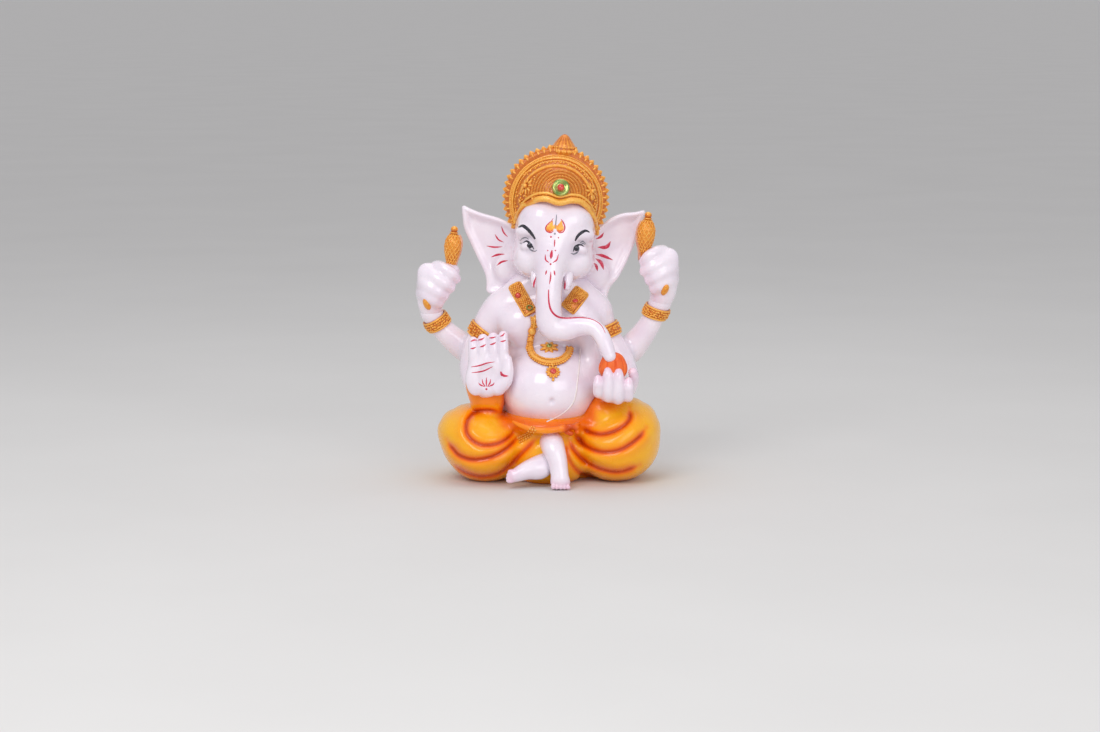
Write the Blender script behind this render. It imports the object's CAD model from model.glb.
import math
from functools import cache
from itertools import pairwise

import bpy
import numpy as np
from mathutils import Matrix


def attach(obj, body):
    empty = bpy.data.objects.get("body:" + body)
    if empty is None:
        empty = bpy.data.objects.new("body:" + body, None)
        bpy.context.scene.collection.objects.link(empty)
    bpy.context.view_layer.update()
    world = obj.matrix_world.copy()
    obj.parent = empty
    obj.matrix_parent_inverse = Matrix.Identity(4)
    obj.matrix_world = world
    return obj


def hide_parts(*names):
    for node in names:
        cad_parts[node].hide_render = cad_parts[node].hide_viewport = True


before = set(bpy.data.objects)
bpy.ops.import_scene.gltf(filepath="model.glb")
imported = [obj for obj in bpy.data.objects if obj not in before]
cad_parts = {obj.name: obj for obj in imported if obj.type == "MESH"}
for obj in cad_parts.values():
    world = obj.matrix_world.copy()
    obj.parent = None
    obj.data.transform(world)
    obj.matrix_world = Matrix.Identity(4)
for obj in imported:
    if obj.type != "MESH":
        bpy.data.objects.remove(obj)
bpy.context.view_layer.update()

import openvdb
from mathutils import Vector
from mathutils.bvhtree import BVHTree

# ---------------------------------------------------------------- frame
# Shapes are worked out in mm about an upright line through the idol's neck, then carried into the CAD
# frame, which is in metres about the middle of the idol's underside.
MM = 0.001
NECK_LINE = np.array([-0.68, 4.0, 0.0])  # where that line stands in the CAD frame
HEAD_X = 2.3  # the head's middle plane
ROLL_DEGREES = 4.5  # the head and crown lean to the idol's left
ROLL = math.radians(ROLL_DEGREES)
PIVOT_Z = 104.0  # the height that they lean about
RIGHT, LEFT = -1, 1  # the idol's own sides
rng = np.random.default_rng(7)


def to_frame(points):
    """Points in mm about the neck's line to metres in the CAD frame."""
    return (np.asarray(points, float) + NECK_LINE) * MM


def tilted(points):
    """Points of the upright head or crown, brought to the head's tilt."""
    p = np.atleast_2d(np.asarray(points, float)).copy()
    x, rise = p[:, 0] - HEAD_X, p[:, 2] - PIVOT_Z
    p[:, 0] = HEAD_X + x * math.cos(ROLL) + rise * math.sin(ROLL)
    p[:, 2] = PIVOT_Z + rise * math.cos(ROLL) - x * math.sin(ROLL)
    return p


def head_point(x, y, z):
    """One point of the upright head or crown, x from its middle plane, brought to the head's tilt."""
    return tilted((HEAD_X + x, y, z))[0]


def outward(a):
    """The way at an angle from the tilted head's left, round towards its top."""
    return tilted((math.cos(a), 0, math.sin(a)))[0] - tilted((0, 0, 0))[0]


def upright(x, z):
    """Where a place on the tilted head lies on the upright one."""
    dx, rise = x - HEAD_X, z - PIVOT_Z
    return (
        HEAD_X + dx * math.cos(ROLL) - rise * math.sin(ROLL),
        PIVOT_Z + rise * math.cos(ROLL) + dx * math.sin(ROLL),
    )


# ---------------------------------------------------------------- curves
def spline(points, count):
    """A smooth curve through points, sampled count times by length. Further columns ride along."""
    p = np.asarray(points, float)
    if len(p) == 2:
        t = np.linspace(0, 1, count)[:, None]
        return p[0] * (1 - t) + p[1] * t
    q = np.vstack([2 * p[0] - p[1], p, 2 * p[-1] - p[-2]])
    rows = []
    for i in range(1, len(q) - 2):
        t = np.linspace(0, 1, 24, endpoint=False)[:, None]
        a, b, c, d = q[i - 1 : i + 3]
        bend, twist = 2 * a - 5 * b + 4 * c - d, 3 * b - a - 3 * c + d
        rows.append(0.5 * (2 * b + (c - a) * t + bend * t**2 + twist * t**3))
    rows.append(q[-2][None])
    fine = np.vstack(rows)
    dims = min(3, fine.shape[1])
    gaps = np.linalg.norm(np.diff(fine[:, :dims], axis=0), axis=1)
    run = np.concatenate([[0], np.cumsum(gaps)])
    at = np.linspace(0, run[-1], count)
    return np.column_stack([np.interp(at, run, fine[:, k]) for k in range(fine.shape[1])])


def unit(v):
    v = np.asarray(v, float)
    return v / np.maximum(np.linalg.norm(v, axis=-1, keepdims=True), 1e-12)


def length_of(path):
    return np.linalg.norm(np.diff(np.asarray(path, float), axis=0), axis=1).sum()


def strip_line(path, samples):
    """Points along a path of (x, z), with the ways ahead and across at each."""
    p = spline(path, samples)
    ahead = unit(np.gradient(p, axis=0))
    return p, ahead, np.column_stack([-ahead[:, 1], ahead[:, 0]])


def rising(values, start, over):
    """0 up to start, then rising to 1 over a distance."""
    return np.clip((values - start) / over, 0, 1)


def turned(axes, a):
    """The way at an angle from the first axis towards the second."""
    return math.cos(a) * axes[0] + math.sin(a) * axes[1]


def ways_round(axes, count, offset=0.0):
    """Ways spread evenly from the first axis round towards the second."""
    return [turned(axes, 2 * math.pi * (k + offset) / count) for k in range(count)]


# ---------------------------------------------------------------- sculpting by signed distance
class Clay:
    """A block of signed distances, in mm, that shapes are blended into and carved from."""

    FAR = 12.0
    BORDER = 2.5  # steps of the grid that a shape is worked out for beyond its blend

    def __init__(self, low, high, step):
        self.low = np.asarray(low, float)
        self.step = step
        self.size = np.ceil((np.asarray(high, float) - self.low) / step).astype(int) + 1
        self.d = np.full(self.size, self.FAR, np.float32)

    def part_of(self, low, high, margin):
        """The slices and grid coordinates of the part of the block around a box."""
        first = np.floor((np.asarray(low) - margin - self.low) / self.step).astype(int)
        last = np.ceil((np.asarray(high) + margin - self.low) / self.step).astype(int) + 1
        a, b = np.clip(first, 0, self.size), np.clip(last, 0, self.size)
        cut = tuple(slice(i, j) for i, j in zip(a, b))
        axes = [self.low[k] + self.step * np.arange(a[k], b[k], dtype=np.float32) for k in range(3)]
        return cut, np.meshgrid(*axes, indexing="ij", sparse=True)

    def whole(self):
        """The slices and grid coordinates of the whole block."""
        return self.part_of(self.low, self.low + self.step * self.size, 0)

    def mix(self, cut, d, blend, how):
        """Adds a shape, carves it away, or keeps only what lies inside it, with a smooth blend."""
        old = self.d[cut]
        sign = 1 if how == "add" else -1
        d = -d if how == "carve" else d
        h = np.clip(0.5 + sign * 0.5 * (old - d) / blend, 0, 1)
        self.d[cut] = old * (1 - h) + d * h - sign * blend * h * (1 - h)

    def ball(self, centre, radii, blend=2.0, how="add", turn=(0, 0, 0)):
        """An ellipsoid, turned about X, Y and Z in degrees."""
        c, r = np.asarray(centre, float), np.asarray(radii, float) * np.ones(3)
        reach = r.max() if any(turn) else r
        cut, (x, y, z) = self.part_of(c - reach, c + reach, blend + self.BORDER * self.step)
        p = [x - c[0], y - c[1], z - c[2]]
        if any(turn):
            m = rotation(turn)
            p = [m[0, k] * p[0] + m[1, k] * p[1] + m[2, k] * p[2] for k in range(3)]
        near = np.sqrt(sum((p[k] / r[k]) ** 2 for k in range(3)))
        steep = np.sqrt(sum((p[k] / r[k] ** 2) ** 2 for k in range(3)))
        self.mix(cut, near * (near - 1) / np.maximum(steep, 1e-6), blend, how)

    def tube(self, stations, blend=2.0, how="add", count=28, flat=None, ratio=1.0):
        """A round limb through stations of (x, y, z, radius), thinned along flat by ratio."""
        s = spline(stations, count)
        reach = s[:, 3].max()
        low, high = s[:, :3].min(0) - reach, s[:, :3].max(0) + reach
        cut, grid = self.part_of(low, high, blend + self.BORDER * self.step)
        shape = np.broadcast_shapes(*[g.shape for g in grid])
        d = np.full(shape, self.FAR + blend, np.float32)
        axes = [g.ravel() for g in grid]
        squash = np.zeros(3) if flat is None else unit(flat)
        gain = 1.0 / ratio - 1.0
        for a, b in pairwise(s):
            edge = max(a[3], b[3]) + blend + self.BORDER * self.step
            span_low, span_high = np.minimum(a[:3], b[:3]) - edge, np.maximum(a[:3], b[:3]) + edge
            sub = tuple(slice(*np.searchsorted(axes[k], (span_low[k], span_high[k]))) for k in range(3))
            p = [axes[k][sub[k]].reshape([-1 if j == k else 1 for j in range(3)]) - a[k] for k in range(3)]
            way = b[:3] - a[:3]
            if gain:
                along = sum(p[k] * squash[k] for k in range(3))
                p = [p[k] + gain * squash[k] * along for k in range(3)]
                way = way + gain * squash * (way @ squash)
            t = np.clip(sum(p[k] * way[k] for k in range(3)) / max(way @ way, 1e-9), 0, 1)
            far = np.sqrt(sum((p[k] - way[k] * t) ** 2 for k in range(3)))
            d[sub] = np.minimum(d[sub], far - (a[3] + (b[3] - a[3]) * t))
        self.mix(cut, d, blend, how)

    def cut_flat(self):
        """Keeps what is above the ground."""
        cut, (_, _, z) = self.whole()
        self.mix(cut, np.broadcast_to(0.0 - z, self.d.shape).astype(np.float32), 0.3, "keep")

    def shape(self, function, low, high, blend):
        """Adds any distance function of x, y and z within a box."""
        cut, (x, y, z) = self.part_of(low, high, blend + self.BORDER * self.step)
        self.mix(cut, function(x, y, z).astype(np.float32), blend, "add")

    def sample(self, field, points):
        """The value of a field on the block at points, between its eight nearest grid points."""
        q = (np.asarray(points) - self.low) / self.step
        i = np.clip(np.floor(q).astype(int), 0, np.array(field.shape) - 2)
        f = np.clip(q - i, 0, 1)
        total = 0
        for dx in (0, 1):
            for dy in (0, 1):
                for dz in (0, 1):
                    w = (f[:, 0] if dx else 1 - f[:, 0]) * (f[:, 1] if dy else 1 - f[:, 1])
                    w = w * (f[:, 2] if dz else 1 - f[:, 2])
                    total = total + w * field[i[:, 0] + dx, i[:, 1] + dy, i[:, 2] + dz]
        return total

    def crowding(self, reach):
        """How much of the room about each grid point is solid: half on a flat, more in a crease."""
        full = np.clip(0.5 - self.d / (2 * self.step), 0, 1)
        n = max(1, int(round(reach / self.step)))
        for _ in range(2):
            for axis in range(3):
                full = running_mean(full, n, axis)
        return full

    def mesh(self):
        """The surface as points in mm and faces."""
        grid = openvdb.FloatGrid(self.FAR)
        grid.copyFromArray(self.d)
        points, quads = grid.convertToQuads(isovalue=0.0)
        points = self.low + self.step * points.astype(float)
        quads = np.asarray(quads)[:, ::-1]
        a, b, c, d = (points[quads[:, k]] for k in range(4))
        if np.einsum("ij,ij->i", a + c, np.cross(b - a, d - a)).sum() < 0:
            quads = quads[:, ::-1]
        edges = np.vstack([quads[:, [0, 1]], quads[:, [1, 2]], quads[:, [2, 3]], quads[:, [3, 0]]])
        links = np.bincount(edges.ravel(), minlength=len(points))
        for _ in range(2):
            pull = np.zeros_like(points)
            for k in range(3):
                pull[:, k] = np.bincount(edges[:, 0], points[edges[:, 1], k], len(points))
                pull[:, k] += np.bincount(edges[:, 1], points[edges[:, 0], k], len(points))
            points = self.settled(0.5 * points + 0.5 * pull / np.maximum(links, 1)[:, None])
        return points, quads

    def settled(self, points):
        """Points brought back onto the surface."""
        half = 0.5 * self.step
        rows = [
            self.sample(self.d, points + half * axis) - self.sample(self.d, points - half * axis)
            for axis in np.eye(3)
        ]
        slope = np.column_stack(rows) / (2 * half)
        size = np.maximum((slope**2).sum(1), 0.2)
        return points - slope * (self.sample(self.d, points) / size)[:, None]


def running_mean(a, n, axis):
    """Each value's mean over n steps to either side along an axis."""
    pad = [(0, 0)] * 3
    pad[axis] = (n + 1, n)
    total = np.cumsum(np.pad(a, pad, mode="edge"), axis=axis, dtype=np.float64)
    size = a.shape[axis]
    upper = np.take(total, np.arange(2 * n + 1, 2 * n + 1 + size), axis=axis)
    lower = np.take(total, np.arange(0, size), axis=axis)
    return ((upper - lower) / (2 * n + 1)).astype(np.float32)


def rotation(turn):
    """The matrix of a turn about X, then Y, then Z, in degrees."""
    (cx, sx), (cy, sy), (cz, sz) = ((math.cos(a), math.sin(a)) for a in map(math.radians, turn))
    mx = np.array([[1, 0, 0], [0, cx, -sx], [0, sx, cx]])
    my = np.array([[cy, 0, sy], [0, 1, 0], [-sy, 0, cy]])
    mz = np.array([[cz, -sz, 0], [sz, cz, 0], [0, 0, 1]])
    return mz @ my @ mx


# ---------------------------------------------------------------- meshes
class Bag:
    """Points, faces and per-point values gathered into one piece."""

    def __init__(self):
        self.points, self.faces, self.values, self.count = [], [], {}, 0

    def add(self, points, faces, **values):
        points = np.asarray(points, float)
        self.points.append(points)
        self.faces += [tuple(int(i) + self.count for i in f) for f in faces]
        for name in set(self.values) | set(values):
            have = self.values.setdefault(name, [np.zeros(self.count)] if self.count else [])
            have.append(np.broadcast_to(np.asarray(values.get(name, 0.0), float), (len(points),)))
        self.count += len(points)

    def mesh(self):
        return np.vstack(self.points), self.faces


def make_object(name, points, faces, values, material, nodes=(), slot=None):
    """A shown piece from points in mm, riding on the idol, standing for CAD nodes."""
    mesh = bpy.data.meshes.new(name)
    mesh.from_pydata(to_frame(points).tolist(), [], [tuple(map(int, f)) for f in faces])
    mesh.validate()
    for key, value in values.items():
        mesh.attributes.new(key, "FLOAT", "POINT").data.foreach_set("value", np.asarray(value, np.float32))
    mesh.polygons.foreach_set("use_smooth", np.ones(len(mesh.polygons), bool))
    mesh.materials.append(material)
    piece = bpy.data.objects.new(name, mesh)
    bpy.context.scene.collection.objects.link(piece)
    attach(piece, "root")
    if nodes:
        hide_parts(*nodes)


def bag_object(name, bag, material, nodes=(), slot=None):
    values = {key: np.concatenate(rows) for key, rows in bag.values.items()}
    make_object(name, *bag.mesh(), values, material, nodes, slot)


class Skin:
    """The surface of sculpted shapes, that paint and ornaments are laid on."""

    def __init__(self, *meshes):
        points, faces, start = [], [], 0
        for p, f in meshes:
            points += [tuple(v) for v in p]
            faces += [tuple(int(i) + start for i in face) for face in f]
            start += len(p)
        self.tree = BVHTree.FromPolygons(points, faces)

    def hit(self, start, way):
        """Where a ray first meets the surface, and the way that it faces there, or None."""
        at, normal, _, _ = self.tree.ray_cast(Vector(start), Vector(way))
        return None if at is None else (np.array(at), np.array(normal))

    def nearest(self, point):
        at, normal, _, _ = self.tree.find_nearest(Vector(point))
        return np.array(at), np.array(normal)


# Marks on the front are set out on an upright sheet through the belly, as the camera's eye sees them there.
TARGET = np.array([1.5, 0.0, 56.7])
LOOK_DOWN = math.radians(8)
EYE_DISTANCE = 1400.0
EYE = TARGET - EYE_DISTANCE * np.array([0.0, math.cos(LOOK_DOWN), -math.sin(LOOK_DOWN)])
SHEET = -25.0
BEFORE_SHEET = 60  # how far before the sheet a ray starts, clear of every piece


def seen(skin, x, z):
    """The surface point that is seen at (x, z) of the sheet, and the way that it faces, or None."""
    on_sheet = np.array([x, SHEET, z])
    way = unit(on_sheet - EYE)
    return skin.hit(on_sheet - BEFORE_SHEET * way, way)


def laid(skin, path, samples, widths, across=5, leap=2.5):
    """A strip of surface points along a path of (x, z) seen from the front.

    It is worked out from its middle row, and never jumps more than leap in depth between neighbouring rows.
    """
    p, _, side = strip_line(path, samples)
    t = np.linspace(0, 1, samples)
    wide = np.interp(t, np.linspace(0, 1, len(widths)), widths)
    points, normals = np.zeros((samples, across, 3)), np.zeros((samples, across, 3))
    middle = samples // 2
    for i in [*range(middle, samples), *range(middle - 1, -1, -1)]:
        before = None if i == middle else points[i - 1 if i > middle else i + 1, across // 2, 1]
        for k, u in enumerate(np.linspace(-1, 1, across)):
            x, z = p[i] + side[i] * u * 0.5 * wide[i]
            got = seen(skin, x, z)
            if got is None or (before is not None and abs(got[0][1] - before) > leap):
                on_sheet = np.array([x, SHEET, z])
                way = on_sheet - EYE
                depth = SHEET if before is None else before
                got = skin.nearest(on_sheet + way * (depth - SHEET) / way[1])
            points[i, k], normals[i, k] = got
    return points, normals


EDGE_SINK = 0.03  # how far a line of paint's edge lies under the surface
PAINT_ROOT = 0.25  # how far its hidden underside does
STROKE_STEP = 0.45


def stroke(bag, skin, path, widths, lift=0.09):
    """A brush stroke of paint, standing just proud of the surface, its edges run out to nothing."""
    across = 5
    points, normals = laid(skin, path, max(6, int(length_of(path) / STROKE_STEP)), widths, across)
    rise = lift * (1 - np.linspace(-1, 1, across) ** 4) - EDGE_SINK
    thin_sheet(bag, points + normals * rise[None, :, None], points - normals * PAINT_ROOT)


def thin_sheet(bag, top, under, **values):
    """A closed thin sheet between two grids of points."""
    m, n = top.shape[:2]
    index = np.arange(m * n).reshape(m, n)
    faces = []
    for i in range(m - 1):
        for j in range(n - 1):
            a, b, c, d = index[i, j], index[i + 1, j], index[i + 1, j + 1], index[i, j + 1]
            faces.append((a, b, c, d))
            faces.append((d + m * n, c + m * n, b + m * n, a + m * n))
    rim = [*index[:, 0], *index[-1, 1:], *index[-2::-1, -1], *index[0, -2:0:-1]]
    for a, b in zip(rim, rim[1:] + rim[:1]):
        faces.append((b, a, a + m * n, b + m * n))
    bag.add(np.vstack([top.reshape(-1, 3), under.reshape(-1, 3)]), faces, **values)


def dot(bag, skin, x, z, radius, lift=0.12):
    """A round dab of paint."""
    got = seen(skin, x, z)
    rings, spokes = (0.45, 0.8, 1.0), 14
    points, faces = [got[0] + got[1] * lift], []
    for share in rings:
        for k in range(spokes):
            a = 2 * math.pi * k / spokes
            at = seen(skin, x + radius * share * math.cos(a), z + radius * share * math.sin(a)) or got
            points.append(at[0] + at[1] * (lift * (1 - share**4) - EDGE_SINK))
    for k in range(spokes):
        nxt = (k + 1) % spokes
        faces.append((0, 1 + k, 1 + nxt))
        for r in range(len(rings) - 1):
            a, b = 1 + r * spokes, 1 + (r + 1) * spokes
            faces.append((a + k, b + k, b + nxt, a + nxt))
    bag.add(points, faces)


@cache
def ball_mesh(rings, spokes):
    """A round ball of radius 1, its poles on Z."""
    points = [(0, 0, 1)]
    for i in range(1, rings):
        polar = math.pi * i / rings
        for k in range(spokes):
            a = 2 * math.pi * k / spokes
            points.append((math.sin(polar) * math.cos(a), math.sin(polar) * math.sin(a), math.cos(polar)))
    points.append((0, 0, -1))
    faces = [(0, 1 + k, 1 + (k + 1) % spokes) for k in range(spokes)]
    for i in range(rings - 2):
        for k in range(spokes):
            a, b = 1 + i * spokes, 1 + (i + 1) * spokes
            nxt = (k + 1) % spokes
            faces.append((a + k, b + k, b + nxt, a + nxt))
    last, base = len(points) - 1, 1 + (rings - 2) * spokes
    faces += [(last, base + (k + 1) % spokes, base + k) for k in range(spokes)]
    return np.array(points), faces


def tube_faces(rings, spokes, closed=False):
    """Faces that join each ring of points to the next, and the last to the first or with flat ends."""
    faces = []
    for i in range(rings if closed else rings - 1):
        j = (i + 1) % rings
        for k in range(spokes):
            q = (k + 1) % spokes
            faces.append((i * spokes + k, i * spokes + q, j * spokes + q, j * spokes + k))
    if not closed:
        faces.append(tuple(range(spokes))[::-1])
        faces.append(tuple((rings - 1) * spokes + k for k in range(spokes)))
    return faces


def basis(normal, along=(0, 0, 1)):
    """Three axes: along the surface, across it, and out of it."""
    out = unit(normal)
    first = np.asarray(along, float)
    first = first - out * (first @ out)
    if np.linalg.norm(first) < 1e-6:
        first = np.cross(out, (1.0, 0.3, 0.0))
    first = unit(first)
    return np.array([first, np.cross(out, first), out])


def bead(bag, at, normal, radii, along=(0, 0, 1), rings=6, spokes=10, **values):
    """A rounded bead or petal, with radii along, across and out of the surface. Its top has a rise of 1."""
    shape, faces = ball_mesh(rings, spokes)
    radii = np.asarray(radii, float) * np.ones(3)
    axes = basis(normal, along)
    values.setdefault("rise", 0.5 + 0.5 * shape[:, 2])
    bag.add(np.asarray(at) + (shape * radii) @ axes, faces, **values)


def cord(bag, points, normals, radii, spokes=8, high=1.0, closed=False):
    """A round cord along points, standing on a surface of these normals, its height scaled by high."""
    p, n = np.asarray(points, float), unit(normals)
    m = len(p)
    r = np.broadcast_to(np.asarray(radii, float), (m,))
    ahead = unit(np.roll(p, -1, 0) - np.roll(p, 1, 0)) if closed else unit(np.gradient(p, axis=0))
    side = unit(np.cross(n, ahead))
    out = unit(np.cross(ahead, side))
    a = np.linspace(0, 2 * math.pi, spokes, endpoint=False)
    ring = np.cos(a)[None, :, None] * side[:, None] + high * np.sin(a)[None, :, None] * out[:, None]
    grid = p[:, None] + ring * r[:, None, None]
    rise = np.tile(0.5 + 0.5 * np.sin(a), m)
    bag.add(grid.reshape(-1, 3), tube_faces(m, spokes, closed), rise=rise)


def cord_seen(bag, skin, path, radii, samples, out, **values):
    """A round cord laid along a path of (x, z) seen from the front, out by a share of its radius."""
    rows = [seen(skin, x, z) for x, z in spline(path, samples)]
    points, normals = (np.array(column) for column in zip(*[row for row in rows if row is not None]))
    for _ in range(2):
        normals[1:-1] = unit(normals[:-2] + normals[1:-1] + normals[2:])
    t = np.linspace(0, 1, len(points))
    r = np.interp(t, np.linspace(0, 1, len(radii)), radii)
    cord(bag, points + normals * (r * out)[:, None], normals, r, **values)


def round_limb(skin, centre, heading, reach, turns):
    """Points and normals of a limb's surface in a ring about centre, square to heading, from its front.

    Where the limb runs into another shape and its surface is out of reach, the ring stays at 0.7 of reach.
    """
    axes = basis(heading, (0, -1, 0))
    rows = []
    for a in turns:
        way = turned(axes, a)
        got = skin.hit(centre, way)
        if got is None or (got[0] - centre) @ way > reach:
            got = (centre + way * 0.7 * reach, way)
        rows.append((got[0], unit(got[1] + 0.5 * way)))
    return (np.array(column) for column in zip(*rows))


# ---------------------------------------------------------------- sculpt: torso and arms
BODY_STEP, HEAD_STEP, CROWN_STEP, HAND_STEP = 0.62, 0.56, 0.42, 0.36  # the sculpting grids' steps in mm


def sculpt_body():
    """The torso with its round belly, and all four arms up to their wrists."""
    clay = Clay((-68, -40, 14), (69, 34, 122), BODY_STEP)
    clay.ball((1.8, 2, 79), (25.5, 17.5, 19), 1)
    clay.ball((1.8, 7, 62), (24.5, 18.5, 30), 6)
    clay.ball((1.2, -7.5, 47.5), (25.2, 27.0, 21.5), 5)
    clay.ball((1.0, 4, 34), (25, 24, 20), 6)
    clay.ball((-12.5, -8.5, 80), (11.5, 9.0, 10.5), 5)
    clay.ball((14.5, -8.5, 80), (11.5, 9.0, 10.5), 5)
    clay.tube([(2, 3, 88, 13), (2.2, 2, 100, 11), (2.6, 0, 110, 10)], 8)
    for shoulder, arm, rear in (
        (
            (-22.8, 1.5, 83.5),
            [(-20, 2, 86, 8.5), (-26.4, 1.5, 81.5, 9.0), (-30.6, 1.5, 74, 8.3), (-34.6, 1.0, 66, 7.8),
             (-37.2, -1, 57, 7.5), (-36.5, -9, 51, 6.6), (-33.5, -17, 48, 5.9), (-31.0, -22.5, 48.5, 5.2)],
            [(-14, 9, 74, 8), (-26, 10, 68, 8.5), (-35, 10, 63.5, 8.2), (-41.2, 9, 64.6, 7.4),
             (-46.6, 7.5, 68.6, 6.6), (-51.6, 6, 73.2, 5.9), (-55.9, 4.6, 78.4, 5.4),
             (-59.0, 3.2, 84.0, 5.8)],
        ),
        (
            (22.8, 1.5, 82.5),
            [(20.5, 2, 85.5, 8.5), (25.2, 1.5, 80.5, 8.5), (28.8, 1.5, 73, 7.9), (33.4, 1.5, 65, 7.7),
             (38.0, -1, 57, 7.3), (40.0, -9, 51.5, 6.6), (38, -17, 50, 6.0), (35.5, -22, 50, 5.6)],
            [(17, 9, 74, 8), (28, 10, 67, 8.5), (36, 10, 62.5, 8.2), (42, 9, 64, 7.4), (47, 7.5, 69.5, 6.5),
             (51.5, 6, 76, 5.8), (55.2, 4.5, 83.4, 5.3), (57.8, 3.4, 89.5, 5.8)],
        ),
    ):
        clay.ball(shoulder, (9.6, 10.0, 10.2), 7)
        clay.tube(rear, 3.5, count=34)
        clay.tube(arm, 3.0, count=34)
    clay.tube([(-7.0, -1, 99.5, 8.5), (-14.5, -1.5, 94.8, 7.6), (-21.5, 1.0, 87.0, 8.6)], 4)
    clay.tube([(10.5, -1, 98.5, 8.5), (17.5, -1.5, 93.6, 7.8), (23.5, 1.0, 86.0, 8.6)], 4)
    clay.tube([(15.5, -13, 87, 3.5), (21.5, -13.5, 76, 4.5), (23.4, -15, 62, 4.5), (22.4, -17, 52, 4)], 7)
    clay.ball((2.5, -35.2, 43.6), (1.5, 2.4, 1.9), 1.2, "carve")
    return clay


# ---------------------------------------------------------------- sculpt: head, trunk and ears
EAR_SHAPES = {
    RIGHT: [(-17.5, 129.2), (-24.0, 132.0), (-33.0, 134.4), (-39.0, 136.6), (-43.1, 138.0), (-42.9, 131.0),
            (-42.2, 126.2), (-39.6, 120.0), (-35.2, 110.8), (-31.6, 103.2), (-30.9, 98.2), (-31.2, 95.4),
            (-29.8, 93.6), (-25.6, 93.0), (-20.0, 92.6), (-15.0, 96.0), (-11, 110.0), (-11, 126.0)],
    LEFT: [(25.5, 127.0), (31.5, 131.6), (38.0, 134.2), (45.0, 134.8), (50.0, 135.4), (48.4, 130.0),
           (46.0, 121.8), (41.3, 110.7), (36.4, 101.6), (32.6, 97.4), (31.0, 93.4), (30.8, 89.8),
           (29.4, 86.6), (25.0, 86.0), (19.5, 90.0), (16.0, 98.0), (15, 112.0), (16, 124.0)],
}


def polygon_distance(x, z, corners):
    """Signed distance from points to an outline, negative inside."""
    corners = np.asarray(corners, float)
    best, inside = np.inf, False
    for a, b in zip(corners, np.roll(corners, -1, 0)):
        ex, ez = b - a
        px, pz = x - a[0], z - a[1]
        t = np.clip((px * ex + pz * ez) / max(ex * ex + ez * ez, 1e-9), 0, 1)
        best = np.minimum(best, (px - ex * t) ** 2 + (pz - ez * t) ** 2)
        inside = inside ^ (((a[1] > z) != (b[1] > z)) & (px < pz * ex / (ez if ez else 1e-9)))
    return np.where(inside, -1, 1) * np.sqrt(best)


EAR_ROUND = 0.9  # the rounding of the ear's edge


def box_distance(a, b, rounding):
    """Signed distance to a shape whose distances are a across it and b through it, its edges rounded."""
    a, b = a + rounding, b + rounding
    outside = np.sqrt(np.maximum(a, 0) ** 2 + np.maximum(b, 0) ** 2)
    return outside + np.minimum(np.maximum(a, b), 0) - rounding


def ear_distance(side):
    """A dished sheet, its edge a little forward, its outer side swept back."""
    smooth = spline(EAR_SHAPES[side] + EAR_SHAPES[side][:1], 90)[:-1]

    def distance(x, y, z):
        edge = polygon_distance(x, z, smooth)
        out = np.maximum(side * (x - HEAD_X) - 15.0, 0)
        sheet = 1.2 + 0.27 * out
        lip = np.exp(-((edge + 1.2) / 2.4) ** 2)
        dish = 2.6 * np.exp(-(((x - side * 33 - 3) / 11) ** 2 + ((z - 119) / 13) ** 2))
        middle = sheet - 1.5 * lip + dish * 0.55
        top = np.exp(-((edge + 1.0) / 2.0) ** 2) * rising(z, 122, 8)
        half = 1.15 + 0.75 * top + 0.35 * lip
        return box_distance(edge, np.abs(y - middle) - half, EAR_ROUND)

    return distance


def sculpt_head():
    """The head with its ears, brows, eyelids and cheeks, and the trunk curling to the idol's left."""
    clay = Clay((-46, -42, 60), (54, 24, 148), HEAD_STEP)
    for side in (RIGHT, LEFT):
        box = ((-45, -4, 92), (-10, 14, 140)) if side == RIGHT else ((14, -4, 92), (52, 14, 138))
        clay.shape(ear_distance(side), *box, 1.0)
        clay.ball(head_point(side * 17.0, -0.5, 111), (6.0, 6.5, 7.0), 7)
        clay.ball(head_point(side * 23.0, 1.2, 104.6), (5.4, 3.4, 5.4), 6)
    clay.ball(head_point(0, -4, 127), (20.3, 21.0, 22.5), 4)
    clay.ball(head_point(0, -9, 112), (16.0, 14.5, 11.5), 6)
    for side in (RIGHT, LEFT):
        clay.ball(head_point(side * 7.5, -14.5, 133), (9.5, 10.0, 9.5), 6)
        clay.ball(head_point(side * 12.0, -11.0, 112.0), (6.8, 8.4, 6.6), 8)
        clay.ball(head_point(side * 13.0, -17.5, 126.2), (6.5, 5.0, 3.0), 4)
        clay.ball(head_point(side * 13.4, -22.6, 119.6), (5.2, 3.2, 3.0), 5, "carve")
        clay.ball(head_point(side * 12.8, -18.6, 119.8), (4.2, 3.0, 2.4), 1.6, turn=(0, side * 22, 0))
    clay.tube(
        [
            (*head_point(0, -12, 130), 10.5), (*head_point(-0.2, -18.5, 121.5), 9.6),
            (1.7, -22.5, 112.0, 7.6), (1.2, -25.3, 103.0, 6.5), (0.9, -26.4, 94.5, 6.4),
            (0.9, -26.4, 87.0, 6.6), (2.6, -26.0, 80.6, 6.9), (8.6, -26.2, 79.2, 6.3),
            (15.4, -27.0, 80.6, 5.2), (21.6, -28.6, 80.6, 4.5), (25.8, -30.6, 78.0, 4.2),
            (28.5, -32.6, 73.4, 4.0), (30.2, -34.0, 69.0, 3.6), (31.2, -34.8, 66.6, 3.1),
        ],
        5, count=48,
    )
    return clay


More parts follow.
